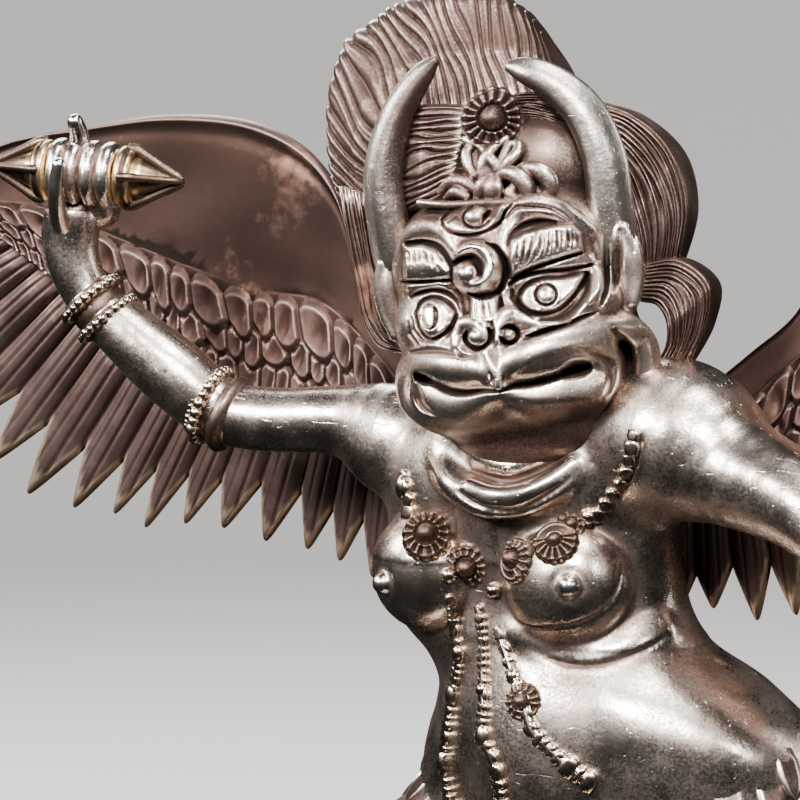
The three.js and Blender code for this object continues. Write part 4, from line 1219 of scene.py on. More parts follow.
    def eyes(self, clay: Clay) -> None:
        """Both eyes: a sunk socket, the ball and its ringed iris."""
        left = [(518, 297), (523, 288), (533, 281), (546, 277), (563, 276), (586, 273), (577, 291),
                (567, 303), (556, 311), (541, 314), (530, 312), (521, 305)]
        clay.chase(left + left[:1], 1.7, 0.9, True, count=60)
        clay.chase([(511, 284, 0.6), (513, 297), (521, 309), (533, 318, 0.5)], 1.4, 1.0, True)
        clay.chase([(588, 274, 0.5), (583, 291, 1.1), (573, 305, 1.2), (560, 316, 0.9),
                    (540, 320, 0.4)],
                   2.2, 1.9, True, count=24)
        clay.plate(left, 1.1, 2.6)
        clay.plate(oval(546, 294.5, 13.4, 13.0), 0.5, 0.9)
        clay.chase(oval(546, 294.5, 10.6, 10.4), 1.5, 0.5)
        clay.plate(oval(546, 294.5, 6.6, 6.6), 0.5, 1.6)
        right = [(416, 313), (422, 302), (434, 297), (446, 301), (456, 312), (452, 325), (442, 335),
                 (430, 339), (420, 330)]
        clay.chase(right + right[:1], 1.3, 0.8, True, count=48)
        clay.plate(right, 1.3, 2.8)
        clay.plate(oval(430, 316, 10.4, 15), 0.5, 1.0)
        clay.chase(oval(429.5, 316.5, 7.8, 12), 1.3, 0.45)
        clay.chase([(434.5, 308, 0.5), (435, 319), (432.5, 328, 0.4)], 1.2, 0.5)
        for rows in ([(412, 318, 0.5), (414, 330), (422, 340), (434, 343, 0.5)],
                     [(408, 322, 0.5), (410, 334), (418, 345, 0.6)],
                     [(457, 318, 0.4), (452, 331), (442, 341, 0.5)]):
            clay.chase(rows, 0.7, 0.6)
        clay.chase([(408, 288), (424, 286), (440, 284), (453, 289, 0.6)], -0.6, 1.2, True)

    def curl(self, clay: Clay) -> None:
        """The curl between the brows: a fat comma round a hollow, on a round boss."""
        clay.knob(480, 269, (4.9, 3.2, 4.9), -0.3, 0.5)
        clay.chase([(486, 243, 0.5), (498, 250), (505.5, 264, 1.2), (504, 281, 1.1), (496, 293),
                    (482, 297), (468, 293, 0.5)], 2.0, 0.9, True, count=24)
        clay.chase([(457, 252, 0.5), (468, 246, 0.9), (480, 247, 1.1), (489, 256, 1.3), (491, 269, 1.4),
                    (485, 280, 1.5), (473, 285, 1.6), (463, 280, 1.4), (460, 273, 0.9)], -1.5, 1.8,
                   True, count=36)
        clay.chase([(455, 263, 0.7), (464, 259), (473, 259, 1.2), (479, 266, 1.1), (480, 274, 0.7)],
                   2.6, 1.3, True, count=20)
        clay.knob(467, 274, (1.8, 1.5, 1.7), 0.3, 0.5)

    def third_eye(self, clay: Clay) -> None:
        """The eye that lies across the forehead."""
        rim = [(442, 220), (451, 211), (466, 204), (482, 201), (498, 201), (512, 203), (505, 212),
               (501, 221), (488, 230), (470, 235), (453, 233), (444, 227)]
        clay.plate(rim, 1.2, 2.6)
        clay.chase(rim + rim[:1], 1.1, 0.55, True, count=60)
        clay.knob(476.5, 217.5, (2.5, 2.0, 2.1), 0.1, 0.3)
        clay.chase(oval(476.5, 217.5, 13.4, 10.4, 20, 250), 0.9, 0.45)
        clay.chase([(490, 211, 0.6), (485, 216, 1.2), (482, 223, 0.5)], 1.6, 0.7)
        clay.chase([(447, 222, 0.5), (456, 216), (461, 221, 0.5)], 0.5, 0.6)

    def ears(self, clay: Clay) -> None:
        """Two folded ears that hang from the roots of the horns."""
        for side, x in ((1, 0.0), (-1, 1.2)):
            at = lambda a, b, c, r: [side * a + x, b, c, r]
            clay.add(Tube([at(22.4, -4.6, 11, 2.0), at(23.6, -4.8, 7, 2.5), at(23.8, -4.6, 2.4, 2.5),
                           at(23.0, -4.6, -2.4, 2.0), at(21.8, -5.0, -6.4, 1.2)], 24), 0.8)
            clay.add(Tube([at(24.4, -6.4, 10.4, 0.9), at(25.9, -6.0, 6.4, 1.0),
                           at(25.8, -5.6, 1.6, 1.0), at(24.2, -5.8, -3.4, 0.9)], 24), 0.8)
        clay.chase([(620, 230, 0.4), (619, 250), (617, 268), (613, 290, 0.6)], 1.2, 1.5, True)
        clay.chase([(630, 226, 0.5), (634, 238), (635, 252, 0.4)], 0.9, 0.6, True)

    def diadem(self, clay: Clay) -> None:
        """The rosette on its stem, the knotted ribbon and the scrolls over the forehead."""
        for rows, flat in (
            ([(488, 194, -11, 2.0), (488, 168, -8.5, 2.0), (490, 148, -6.5, 2.4),
              (491, 128, -4.2, 3.0)], 1.0),
            ([(477, 199, -12.4, 0.8), (481, 186, -12.6, 1.2), (488, 177, -12.2, 0.9)], 0.8),
            ([(489, 200, -12.8, 0.8), (490, 188, -13.2, 1.3), (490, 177, -12.4, 0.8)], 0.8),
            ([(497, 200, -12.6, 0.8), (498, 187, -13.0, 1.1), (494, 177, -12.2, 0.8)], 0.8),
            ([(499, 176, -12.0, 0.9), (508, 173, -12.8, 1.3), (519, 177, -13.2, 1.6),
              (527, 187, -13.2, 1.6), (527, 197, -13.2, 1.2), (517, 199, -13.2, 1.0),
              (510, 194, -13.0, 1.2), (514, 187, -12.8, 0.9)], 0.85),
            ([(515, 172, -11.6, 0.9), (527, 169, -12.0, 1.4), (540, 171, -12.2, 1.7),
              (549, 180, -12.0, 1.7), (551, 191, -11.8, 1.4), (543, 197, -12.0, 1.1),
              (537, 191, -11.8, 0.9)], 0.85),
            ([(502, 172, -10.6, 0.9), (510, 161, -10.6, 1.1), (518, 151, -9.8, 1.1),
              (517, 144, -9.0, 0.9), (509, 147, -8.8, 0.9), (503, 158, -9.8, 0.9),
              (497, 170, -10.6, 0.9)], 0.8),
            ([(503, 173, -10.6, 0.8), (494, 163, -10.4, 1.0), (486, 152, -9.2, 1.0),
              (480, 146, -8.4, 0.8)], 0.8),
            ([(480, 174, -10.6, 0.8), (483, 162, -10.2, 1.0), (490, 152, -9.6, 1.0),
              (497, 146, -8.8, 0.7)], 0.8),
            ([(474, 176, -10.4, 0.8), (468, 164, -9.6, 1.1), (467, 152, -8.8, 1.0),
              (474, 145, -8.2, 0.7)], 0.8),
            ([(476, 190, -11.4, 0.8), (463, 182, -10.6, 1.3), (450, 183, -9.2, 1.2),
              (440, 191, -8.2, 0.7)], 0.8),
            ([(467, 197, -11.8, 0.8), (456, 192, -11.0, 1.1), (446, 198, -10.0, 0.6)], 0.8),
            ([(420, 203, -9, 0.8), (450, 205, -12.2, 0.8), (486, 203, -13.2, 0.8),
              (530, 203, -13.0, 0.8), (566, 208, -9.8, 0.9), (580, 213, -7.6, 1.2),
              (592, 214, -5.4, 1.0)], 1.0),
        ):
            clay.add(Tube(self.rows(rows), 26, flat), 0.3)
        for x, y in oval(486, 139, 20, 7, 172, 4, 12):
            clay.add(Egg(self.facing.at(x, y, -8.2), (0.9, 0.9, 0.9)), 0.15)

    def rosette(self) -> Thing:
        """The ribbed fan with its egg-shaped boss that stands on the diadem."""
        centre = self.facing.at(492, 121, -7.2)
        out = unit(self.facing.back + (0.0, -0.1, 0.15))
        points, faces = disc(centre, out, unit(self.facing.up + 0.2 * self.facing.right), 5.1, 17, 0.42,
                             squash=1.14, peak=0.3)
        parts = Parts()
        parts.add(self.facing.place(points), faces)
        return parts.piece("figure_rosette", 3, 12)

    def build(self, clay: Clay) -> Thing:
        """The head's mesh in the plinth's frame."""
        return clay_mesh("figure_head", clay, self.most, self.stands, self.wear)

    def wear(self, points: Array) -> Array:
        """What is added to the broad value: duller over the crown, and darker under the chin as painted
        shade.
        """
        z = points[:, 2]
        # painted shade: the jaw's underside is darkened, as it faces down away from the lights
        return -0.9 * step_up(z, *self.crown) - 1.2 * (1 - step_up(z, *self.chin))


@dataclass
class Horns:
    """Two blunt horns, broad and flat towards the front, with a crisp inner edge and painted shade on
    their inner faces.
    """

    head: Head
    rings: int = 64
    sides: int = 28
    flat: float = 0.72
    # x, y, z and radius in the head's frame, from root to tip
    left: tuple = ((20.2, -2.5, 4, 3.6), (20.8, -3.7, 9, 4.3), (21.6, -5, 16, 4.0),
                   (21.8, -5.6, 24, 3.8), (19.0, -6, 33, 3.5), (13.8, -6.8, 38.8, 2.9),
                   (9.6, -7.2, 41.4, 2.2), (7.2, -7.4, 42.6, 1.1))
    right: tuple = ((-20.2, -2.5, 5, 3.8), (-21.1, -3.7, 10, 4.9), (-21.4, -5, 17, 4.6),
                    (-20.8, -5.6, 27, 4.2), (-16.8, -6, 36.5, 3.6), (-12, -6.8, 42, 2.8),
                    (-8.6, -7.2, 44.8, 2.0), (-6.8, -7.4, 46.0, 1.0))

    def build(self) -> Thing:
        """Both horns as one piece."""
        parts, shades = Parts(), []
        for rows, side in ((self.left, 1), (self.right, -1)):
            path = smooth_path(rows, self.rings)
            ways = unit(np.gradient(path[:, :3], axis=0))
            broad = unit(np.array((side * 0.5, -0.87, 0.0)))
            across = unit(np.cross(ways, broad))
            front = np.cross(across, ways)
            front = np.where((front[:, 1] > 0)[:, None], -front, front)
            inner = np.where((across[:, 0] * side > 0)[:, None], -across, across)
            angles = np.linspace(0, 2 * math.pi, self.sides, endpoint=False)
            c, s = np.cos(angles), np.sin(angles)
            crisp = math.radians(70 if side < 0 else 155)
            edge = 1 + 0.24 * np.maximum(np.cos(angles - crisp), 0) ** 14
            # painted shade: the inner side of each horn is darkened where it turns from the lights,
            # stored with the rubbing values
            shade = (-1.6 * step_up(np.cos(angles - 0.25), 0.3, 0.5) if side < 0
                     else -2.2 * step_up(np.cos(angles + 0.2), 0.6, 0.8))
            rings = (
                path[:, None, :3]
                + inner[:, None] * (c * edge)[None, :, None] * path[:, 3][:, None, None]
                + front[:, None] * (s * np.where(s > 0, self.flat, 0.85))[None, :, None]
                * path[:, 3][:, None, None]
            )
            points, faces = tube_of_rings(rings)
            shades.append(np.tile(shade, len(points) // self.sides))
            parts.add(self.head.facing.place(points), faces)
        return parts.piece("figure_horns", 6, 30, worn=np.concatenate(shades))


def tube_of_rings(rings: Array) -> tuple[Array, Array]:
    """A closed tube through rings, domed over both ends.

    Args:
        rings: rings by points by three.

    Returns:
        Points, and faces of four corners.
    """
    sides = rings.shape[1]
    caps = []
    for end, inner in ((0, 1), (-1, -2)):
        middle = rings[end].mean(0)
        out = unit(middle - rings[inner].mean(0)) * np.linalg.norm(rings[end] - middle, axis=1).mean()
        dome = [middle + (rings[end] - middle) * math.cos(a) + out * 0.7 * math.sin(a)
                for a in (0.45, 0.9, 1.3, 1.52)]
        caps.append(dome)
    rows = np.stack(caps[0][::-1] + list(rings) + caps[1])
    return rows.reshape(-1, 3), grid_faces(len(rows), sides, True)


def grid_faces(rows: int, columns: int, ends: bool) -> Array:
    """Faces between rings of points, with the first and the last ring filled across if asked."""
    i, j = np.meshgrid(np.arange(rows - 1), np.arange(columns), indexing="ij")
    a = i * columns + j
    b = i * columns + (j + 1) % columns
    faces = np.stack([a, b, b + columns, a + columns], axis=-1).reshape(-1, 4)
    if not ends:
        return faces
    half = columns // 2
    k = np.arange(half - 1)
    low = np.stack([k, (columns - 1 - k) % columns, (columns - 2 - k) % columns, k + 1], axis=-1)
    low = low[(low[:, 0] != low[:, 3]) & (low[:, 1] != low[:, 2])]
    high = (low + (rows - 1) * columns)[:, ::-1]
    return np.concatenate([low, faces, high])


def dress_relief(thing: Thing, fine: int, broad: int) -> None:
    """Stores how far each point of a mesh stands out, as the values fine and broad, with any stored
    rubbing and painted shade added to broad.
    """
    worn = thing.data.attributes.get("worn")
    extra = np.zeros(len(thing.data.vertices), np.float32)
    if worn:
        worn.data.foreach_get("value", extra)
    write_values(thing.data, "fine", mesh_relief(thing.data, fine))
    write_values(thing.data, "broad", mesh_relief(thing.data, broad) + extra)


# Hair: combed locks, each a fan of strands drawn through its guides.


@dataclass
class Lock:
    """One combed lock: guides from root to tip by picture place, fanned from first to last."""

    guides: tuple
    strands: int
    depths: tuple[float, ...]  # the lock's middle from root to tip, behind the head's middle
    halves: tuple[float, ...]  # its half thickness from root to tip
    ridge: float = 0.85
    tip: float = 0.9
    seed: int = 3
    along: int = 56
    across: int = 8

    def spine(self, head: Head) -> Array:
        """The lock's middle sheet: columns across by rows along by three."""
        rows = np.linspace(0, 1, self.along)
        knots = np.linspace(0, 1, len(self.depths))
        lines = []
        for guide in self.guides:
            share = np.linspace(0, 1, len(guide))
            depth = np.interp(share, knots, self.depths)
            points = [head.facing.at(x, y, d) for (x, y), d in zip(guide, depth)]
            lines.append(even_path([list(p) for p in points], rows))
        lines = np.array(lines)
        count = self.strands * self.across + 1
        table = np.concatenate(
            [np.arange(len(lines))[:, None], lines.reshape(len(lines), -1)], axis=1
        )
        spread = hermite(table, np.linspace(0, len(lines) - 1, count))
        return spread.reshape(count, self.along, 3)

    def build(self, head: Head) -> tuple[Array, Array]:
        """The lock as a closed shell in the plinth's frame.

        Args:
            head: the head that carries it.

        Returns:
            Points and faces of four corners.
        """
        sheet = self.spine(head)
        count = sheet.shape[0]
        random = np.random.default_rng(self.seed)
        v = np.linspace(0, 1, self.along)[None, :]
        u = np.linspace(0, 1, count)[:, None]
        drift = 0.55 * np.sin(2 * math.pi * (u * 1.7 + 0.6 * v + 0.13 * self.seed))
        drift = drift + 0.25 * np.sin(2 * math.pi * (u * 6.3 - 1.1 * v))
        place = u * self.strands + drift * np.sin(math.pi * u) * step_up(v, 0.0, 0.5)
        place = np.clip(place, 0, self.strands)
        strand = np.clip(place.astype(int), 0, self.strands - 1)
        wander = random.uniform(0, 1, (3, self.strands))[:, strand]
        wave = 0.5 + 0.5 * np.sin(2 * math.pi * (wander[0] + v * (0.5 + wander[1])))
        round_ = np.abs(np.sin(math.pi * place)) ** 0.7
        twin = np.abs(np.sin(2 * math.pi * (place + 0.2 * (wander[2] - 0.5)))) ** 0.6
        split = 0.6 * wave * (wander[2] > 0.35)
        mixed = (1 - 0.5 * split) * round_ + 0.5 * split * twin
        lift = 0.35 * (wander[1] - 0.5) * np.sin(math.pi * v**0.7) * round_
        ridge = self.ridge * (mixed - 0.25 * wave * (1 - wander[1])) + lift
        knots = np.linspace(0, 1, len(self.halves))
        half = np.interp(v, knots, self.halves)
        side = np.clip(np.minimum(u, 1 - u) * self.strands / 1.6, 0, 1)
        side = np.sqrt(1 - (1 - side) ** 2)
        end = np.sqrt(1 - np.clip((v - 0.88) / 0.12, 0, 1) ** 2 * 0.9)
        thick = np.maximum(half * (0.3 + 0.7 * side) * end, 0.25)
        ways = unit(np.gradient(sheet, axis=1))
        reach = self.tip * (0.7 * (round_ - 0.5) + 0.8 * (wander[0] - 0.5) * round_)
        sheet = sheet + ways * (reach * step_up(v, 0.7, 1.0))[..., None]
        out = np.array((0.0, -1.0, 0.0))
        front = sheet + out * (thick + ridge * np.minimum(1, thick))[..., None]
        rear = sheet - out * (thick + ridge * np.minimum(1, thick))[..., None]
        rings = np.concatenate([front, rear[:, ::-1]], axis=1)
        faces = grid_faces(count, rings.shape[1], True)
        return head.facing.place(rings.reshape(-1, 3)), faces


@dataclass
class Hair:
    """The tall crest behind the horns, its side lobes and the hair combed off the forehead."""

    head: Head
    most: int = 115000
    locks: tuple = (
        Lock((((402, 248), (368, 226), (341, 196)), ((402, 212), (364, 182), (331, 158)),
              ((404, 178), (362, 138), (330, 104)), ((416, 142), (376, 92), (343, 52)),
              ((440, 126), (410, 66), (376, 20)), ((466, 120), (444, 52), (413, 1)),
              ((494, 116), (474, 46), (451, -7)), ((524, 112), (506, 40), (489, -7)),
              ((554, 104), (540, 46), (524, 8)), ((580, 104), (564, 64), (549, 40))),
             27, (6.0, 9.5, 9.5), (7.0, 6.6, 2.2), seed=5, across=10, ridge=1.0),
        Lock((((596, 100), (640, 114), (680, 150), (695, 205), (684, 262)),
              ((596, 116), (634, 130), (666, 164), (680, 215), (668, 282)),
              ((596, 134), (626, 150), (650, 186), (662, 232), (655, 294)),
              ((598, 152), (618, 172), (636, 208), (644, 250), (642, 302))),
             13, (8.0, 9.0, 6.0), (5.0, 6.0, 2.6), seed=8),
        Lock((((650, 262), (686, 258), (717, 282), (713, 322), (694, 362)),
              ((648, 274), (680, 274), (703, 296), (700, 330), (682, 366)),
              ((646, 288), (672, 290), (686, 310), (684, 340), (668, 368)),
              ((644, 302), (660, 306), (670, 324), (668, 346), (654, 368))),
             11, (5.0, 5.0, 4.0), (3.5, 4.5, 2.2), seed=11),
        Lock((((344, 186), (352, 236), (362, 284), (366, 318), (380, 346), (402, 354)),
              ((358, 190), (366, 240), (374, 286), (380, 316), (392, 336), (408, 342)),
              ((372, 196), (380, 244), (388, 288), (394, 312), (402, 324), (414, 328))),
             8, (3.0, 2.5, 2.0), (3.5, 3.0, 1.6), seed=13),
        Lock((((478, 106), (450, 104), (420, 106), (396, 122)),
              ((472, 122), (446, 122), (418, 126), (396, 140)),
              ((470, 140), (444, 144), (418, 148), (396, 158)),
              ((466, 158), (442, 166), (416, 172), (398, 178)),
              ((462, 174), (440, 184), (418, 194), (402, 200)),
              ((458, 192), (438, 206), (418, 214), (402, 222))),
             14, (-2.0, -1.5, 1.0), (4.0, 5.0, 4.0), seed=17, tip=0.3),
        Lock((((500, 98), (530, 92), (560, 94), (590, 108)),
              ((506, 104), (534, 102), (562, 106), (590, 120)),
              ((514, 112), (540, 112), (566, 120), (590, 134)),
              ((524, 120), (548, 122), (568, 132), (590, 148))),
             9, (-1.0, -0.5, 2.0), (3.0, 4.0, 3.5), seed=19, tip=0.3),
        Lock((((552, 128), (566, 126), (584, 132)), ((560, 142), (572, 142), (590, 148)),
              ((564, 158), (574, 160), (592, 168)), ((564, 174), (574, 178), (592, 188)),
              ((558, 190), (568, 196), (588, 208))),
             13, (-2.0, -1.5, 0.0), (3.5, 3.0, 2.5), seed=23, tip=0.3, along=30),
    )

    def build(self) -> Thing:
        """All the locks as one piece."""
        parts = Parts()
        for lock in self.locks:
            parts.add(*lock.build(self.head))
        return parts.piece("figure_hair", 3, 14, self.most)


# Rows of small shapes.


class Nodes:
    """A tree's nodes, made and joined in few words."""

    def __init__(self, nodes: Tree) -> None:
        """Keeps the tree."""
        self.tree = nodes

    def node(self, kind: str, settings: Optional[dict] = None, **inputs: object) -> Node:
        """A node with its properties and its inputs.

        Args:
            kind: the node's type.
            settings: its properties.
            inputs: values or sockets by name, with an underscore for a space, or by number.

        Returns:
            The node.
        """
        node = self.tree.nodes.new(kind)
        for key, value in (settings or {}).items():
            setattr(node, key, value)
        for key, value in inputs.items():
            self.feed(node, key.replace("_", " "), value)
        return node

    def feed(self, node: Node, key: str, value: object) -> None:
        """Sets or joins one input."""
        socket = node.inputs[int(key)] if key.isdigit() else node.inputs[key]
        if isinstance(value, Socket):
            self.tree.links.new(value, socket)
        else:
            socket.default_value = value

    def math(self, operation: str, *values: object, clamp: bool = False) -> Socket:
        """The result of a sum on numbers or sockets."""
        node = self.node("ShaderNodeMath", {"operation": operation, "use_clamp": clamp})
        for i, value in enumerate(values):
            self.feed(node, str(i), value)
        return node.outputs[0]


class Repeater(Nodes):
    """A tree that sets copies of a small shape on points, each a little larger or smaller."""

    def __init__(self, name: str, unevenness: float, own: Sequence[tuple] = ()) -> None:
        """Starts the tree.

        Args:
            name: its name.
            unevenness: the starting value of that input.
            own: name, socket type and starting value of each input that only this tree has.
        """
        super().__init__(bpy.data.node_groups.new(name, "GeometryNodeTree"))
        self.tree.is_modifier = True
        sockets = self.tree.interface
        sockets.new_socket("Geometry", in_out="INPUT", socket_type="NodeSocketGeometry")
        for label, kind, value in (("Shape", "Object", None), *own, ("Size", "Float", 1.0),
                                   ("Unevenness", "Float", unevenness), ("Seed", "Int", 1),
                                   ("Finish", "Material", None)):
            socket = sockets.new_socket(label, in_out="INPUT", socket_type="NodeSocket" + kind)
            if value is not None:
                socket.default_value = value
        sockets.new_socket("Geometry", in_out="OUTPUT", socket_type="NodeSocketGeometry")
        self.given = self.node("NodeGroupInput").outputs
        chance = self.node("FunctionNodeRandomValue", {"data_type": "FLOAT"}, Seed=self.given["Seed"],
                           **{"2": -1.0, "3": 1.0}).outputs[1]
        uneven = self.math("MULTIPLY_ADD", chance, self.given["Unevenness"], 1.0)
        self.size = self.math("MULTIPLY", uneven, self.given["Size"])

    def aimed(self, vector: Socket) -> Socket:
        """A rotation whose Z looks along a vector."""
        return self.node("FunctionNodeAlignRotationToVector", {"axis": "Z"}, Vector=vector).outputs[0]

    def close(self, points: Socket, turn: Socket, scale: Socket) -> None:
        """Ends the tree: sets the shape on points, makes it real and gives it its finish."""
        shape = self.node("GeometryNodeObjectInfo", Object=self.given["Shape"]).outputs["Geometry"]
        put = self.node("GeometryNodeInstanceOnPoints", Points=points, Instance=shape, Rotation=turn,
                        Scale=scale)
        real = self.node("GeometryNodeRealizeInstances", Geometry=put.outputs["Instances"])
        finish = self.node("GeometryNodeSetMaterial", Geometry=real.outputs[0],
                           Material=self.given["Finish"])
        self.node("NodeGroupOutput", Geometry=finish.outputs[0])

    def grown(self, name: str, mesh: Mesh, values: dict) -> Mesh:
        """Runs the tree on a mesh of points or of a path.

        Args:
            name: the name of the result.
            mesh: the points or the path.
            values: the value of each named input.

        Returns:
            The plain mesh that the tree makes.
        """
        thing = object_of(name, mesh)
        modifier = thing.modifiers.new(self.tree.name, "NODES")
        modifier.node_group = self.tree
        for item in self.tree.interface.items_tree:
            if item.item_type == "SOCKET" and item.in_out == "INPUT" and item.name in values:
                modifier[item.identifier] = values[item.name]
        made = settled(thing).data
        bpy.data.objects.remove(thing)
        return made


class Setter(Repeater):
    """Sets a small shape on points, each with its own aim, top and size."""

    def __init__(self) -> None:
        """Builds the tree."""
        super().__init__("set_on_points", 0.0)
        aim, top, size = (
            self.node("GeometryNodeInputNamedAttribute", {"data_type": "FLOAT_VECTOR"},
                      Name=name).outputs[0]
            for name in ("aim", "top", "size")
        )
        turn = self.node("FunctionNodeAlignRotationToVector", {"axis": "Y", "pivot_axis": "Z"},
                         Rotation=self.aimed(aim), Vector=top)
        grow = self.node("ShaderNodeVectorMath", {"operation": "SCALE"}, Scale=self.size, **{"0": size})
        self.close(self.given["Geometry"], turn.outputs[0], grow.outputs[0])

    def run(self, name: str, shape: Thing, rows: Sequence[tuple], uneven: float, seed: int) -> Mesh:
        """Sets a shape on points.

        Args:
            name: the name of the result.
            shape: the shape, about one millimetre in half size, its face up its own Z.
            rows: place, aim, top and three scales of each, in millimetres of the plinth's frame.
            uneven: the largest change of size, as a share.
            seed: the seed of that change.

        Returns:
            The mesh of all of them.
        """
        places, aims, tops, sizes = zip(*rows)
        mesh = bpy.data.meshes.new(name)
        mesh.vertices.add(len(places))
        mesh.vertices.foreach_set("co", (np.array(places) * MM).ravel())
        for label, values in (("aim", unit(aims)), ("top", unit(tops)),
                              ("size", np.array(sizes, float))):
            layer = mesh.attributes.new(label, "FLOAT_VECTOR", "POINT")
            layer.data.foreach_set("vector", values.astype(np.float32).ravel())
        return self.grown(name, mesh, {"Shape": shape, "Size": 1.0, "Unevenness": uneven, "Seed": seed})


class PathRow(Repeater):
    """Strings a small shape along a path at even steps."""

    def __init__(self) -> None:
        """Builds the tree."""
        super().__init__("strung_on_path", 0.08, [("Count", "Int", 12)])
        curve = self.node("GeometryNodeMeshToCurve", Mesh=self.given["Geometry"]).outputs[0]
        even = self.node("GeometryNodeResampleCurve", Curve=curve, Count=self.given["Count"]).outputs[0]
        self.close(even, self.aimed(self.node("GeometryNodeInputTangent").outputs[0]), self.size)

    def run(self, name: str, shape: Thing, path: Array, count: int, size: float,
            uneven: float, seed: int) -> Mesh:
        """Strings a shape along a closed path.

        Args:
            name: the name of the result.
            shape: the shape, about one millimetre in half size.
            path: the path's points, in millimetres of the plinth's frame, the last one on the first.
            count: how many shapes.
            size: their half size in millimetres.
            uneven: the largest change of size, as a share.
            seed: the seed of that change.

        Returns:
            The mesh of all of them.
        """
        last = len(path) - 1
        mesh = bpy.data.meshes.new(name)
        mesh.from_pydata([tuple(p * MM) for p in path[:last]],
                         [(i, (i + 1) % last) for i in range(last)], [])
        return self.grown(name, mesh, {"Shape": shape, "Count": count, "Size": size,
                                       "Unevenness": uneven, "Seed": seed})


class Small(Enum):
    """The small shapes that are repeated."""

    BEAD = "bead"
    NUGGET = "nugget"
    PLUME = "plume"
    PETAL = "petal"


class Smalls:
    """The small shapes' own objects, kept out of the view."""

    def __init__(self) -> None:
        """Makes each shape."""
        self.shapes = {
            Small.BEAD: self.bead("bead", 8, 6, 1.0),
            Small.NUGGET: self.bead("nugget", 8, 6, 0.5),
            Small.PLUME: self.leaf("plume", 5, 5, 0.55, 0.34, 0.12),
            Small.PETAL: self.leaf("petal", 5, 6, 0.3, 0.5, 0.2),
        }

    def bead(self, name: str, around: int, rows: int, power: float) -> Thing:
        """A round bead, or a squarish one where the power is below 1."""
        b = np.linspace(0, 2 * math.pi, around, endpoint=False)[None, :]
        a = np.linspace(0.22, math.pi - 0.22, rows)[:, None]
        lines = (np.sin(a) * np.cos(b), np.sin(a) * np.sin(b), np.cos(a) + 0 * b)
        points = np.stack([np.sign(v) * np.abs(v) ** power for v in lines], axis=-1).reshape(-1, 3)
        return self.kept(name, points * (0.78 if power < 1 else 1.0), grid_faces(rows, around, True))

    def leaf(self, name: str, across: int, along: int, vein: float, crown: float,
             rim: float) -> Thing:
        """A pointed leaf, root at -Y and tip at +Y, that swells towards +Z with a raised rim."""
        v = np.linspace(0, 1, along)
        half = 0.62 * np.sin(math.pi * np.clip(v * 0.86 + 0.14, 0, 1)) ** 0.7 * (1 - 0.35 * v**3)
        half[-1] = 0.04
        u = np.linspace(-1, 1, across)
        x = half[:, None] * u[None, :]
        y = np.repeat((-1 + 2 * v)[:, None], across, axis=1)
        y = y - 0.12 * (u[None, :] ** 2) * (v[:, None] > 0.9)
        top = crown * (1 - 0.75 * u**2)[None, :] * (0.35 + 0.65 * v[:, None]) * (1 - v[:, None] ** 6)
        top = top + rim * (np.abs(u) > 0.7)[None, :] - vein * 0.3 * (np.abs(u) < 0.2)[None, :] * crown
        low = np.full_like(top, -0.25)
        front = np.stack([x, y, top], axis=-1)
        back = np.stack([x, y, low], axis=-1)
        rings = np.concatenate([front, back[:, ::-1]], axis=1)
        return self.kept(name, rings.reshape(-1, 3), grid_faces(along, 2 * across, True))

    def kept(self, name: str, points: Array, faces: Array) -> Thing:
        """An object of one millimetre's half size that no view shows."""
        if volume_of(points, faces) < 0:
            faces = faces[:, ::-1]
        return bpy.data.objects.new("shape_" + name, mesh_of("shape_" + name, points, [faces]))

    def __getitem__(self, name: Small) -> Thing:
        """The object of one shape."""
        return self.shapes[name]

    def clear(self) -> None:
        """Removes the shapes once all pieces hold their copies."""
        for shape in self.shapes.values():
            bpy.data.objects.remove(shape)


# Ornaments.


def disc(spot: Array, out: Array, top: Array, radius: float, ribs: int, boss: float,
         arc: float = 1.0, squash: float = 1.0, peak: float = 0.0) -> tuple[Array, Array]:
    """A ribbed rosette with a boss, as a closed shell.

    Args:
        spot: its centre on what carries it.
        out: the way it faces.
        top: a direction in its plane, where a part fan's middle lies.
        radius: its radius.
        ribs: how many ribs go round.
        boss: the boss's radius, as a share of the rosette's.
        arc: how far round the ribs go, as a share of a turn.
        squash: its width across the top direction, as a share.
        peak: how far its top is drawn out, as a share of the radius.

    Returns:
        Points and faces of four corners.
    """
    out = unit(out)
    side = unit(np.cross(out, top))
    top = np.cross(side, out)
    sides, rows = max(ribs * 8, 48), 26
    angle = np.linspace(0, 2 * math.pi, sides, endpoint=False)[None, :]
    r = np.linspace(0.03, 1, rows)[:, None]
    rib = np.abs(np.sin(ribs * angle / 2)) ** 0.6
    inside = step_up(np.cos(angle), math.cos(math.pi * arc) - 0.1, math.cos(math.pi * arc) + 0.1)
    ray = step_up(r, boss + 0.04, boss + 0.16) * (1 - 0.2 * step_up(r, 0.85, 1.0))
    height = 0.3 * (1 - r**2) + (0.24 * rib * inside) * ray + 0.06 * (r > 0.84)
    knob = np.sqrt(np.clip(1 - (r / boss) ** 2, 0, 1)) * boss * 1.15
    ring = 0.14 * np.exp(-(((r - boss - 0.08) / 0.05) ** 2)) - 0.1 * np.exp(-(((r - boss) / 0.04) ** 2))
    height = height + knob + ring
    edge = (1 + 0.05 * (rib - 0.5) * inside) * (1 + peak * np.maximum(np.cos(angle), 0) ** 5)
    height = height * step_up(1.02 - r, 0.0, 0.1) ** 0.5
    x = r * edge * np.cos(angle) * radius
    y = r * edge * np.sin(angle) * radius * squash
    lay = lambda x, y, h: spot + x[..., None] * top + y[..., None] * side + h[..., None] * out
    front = lay(x, y, height * radius)
    back = lay(x[-1:], y[-1:], np.full((1, sides), -0.6 * radius))
    return np.concatenate([front, back]).reshape(-1, 3), grid_faces(rows + 1, sides, True)


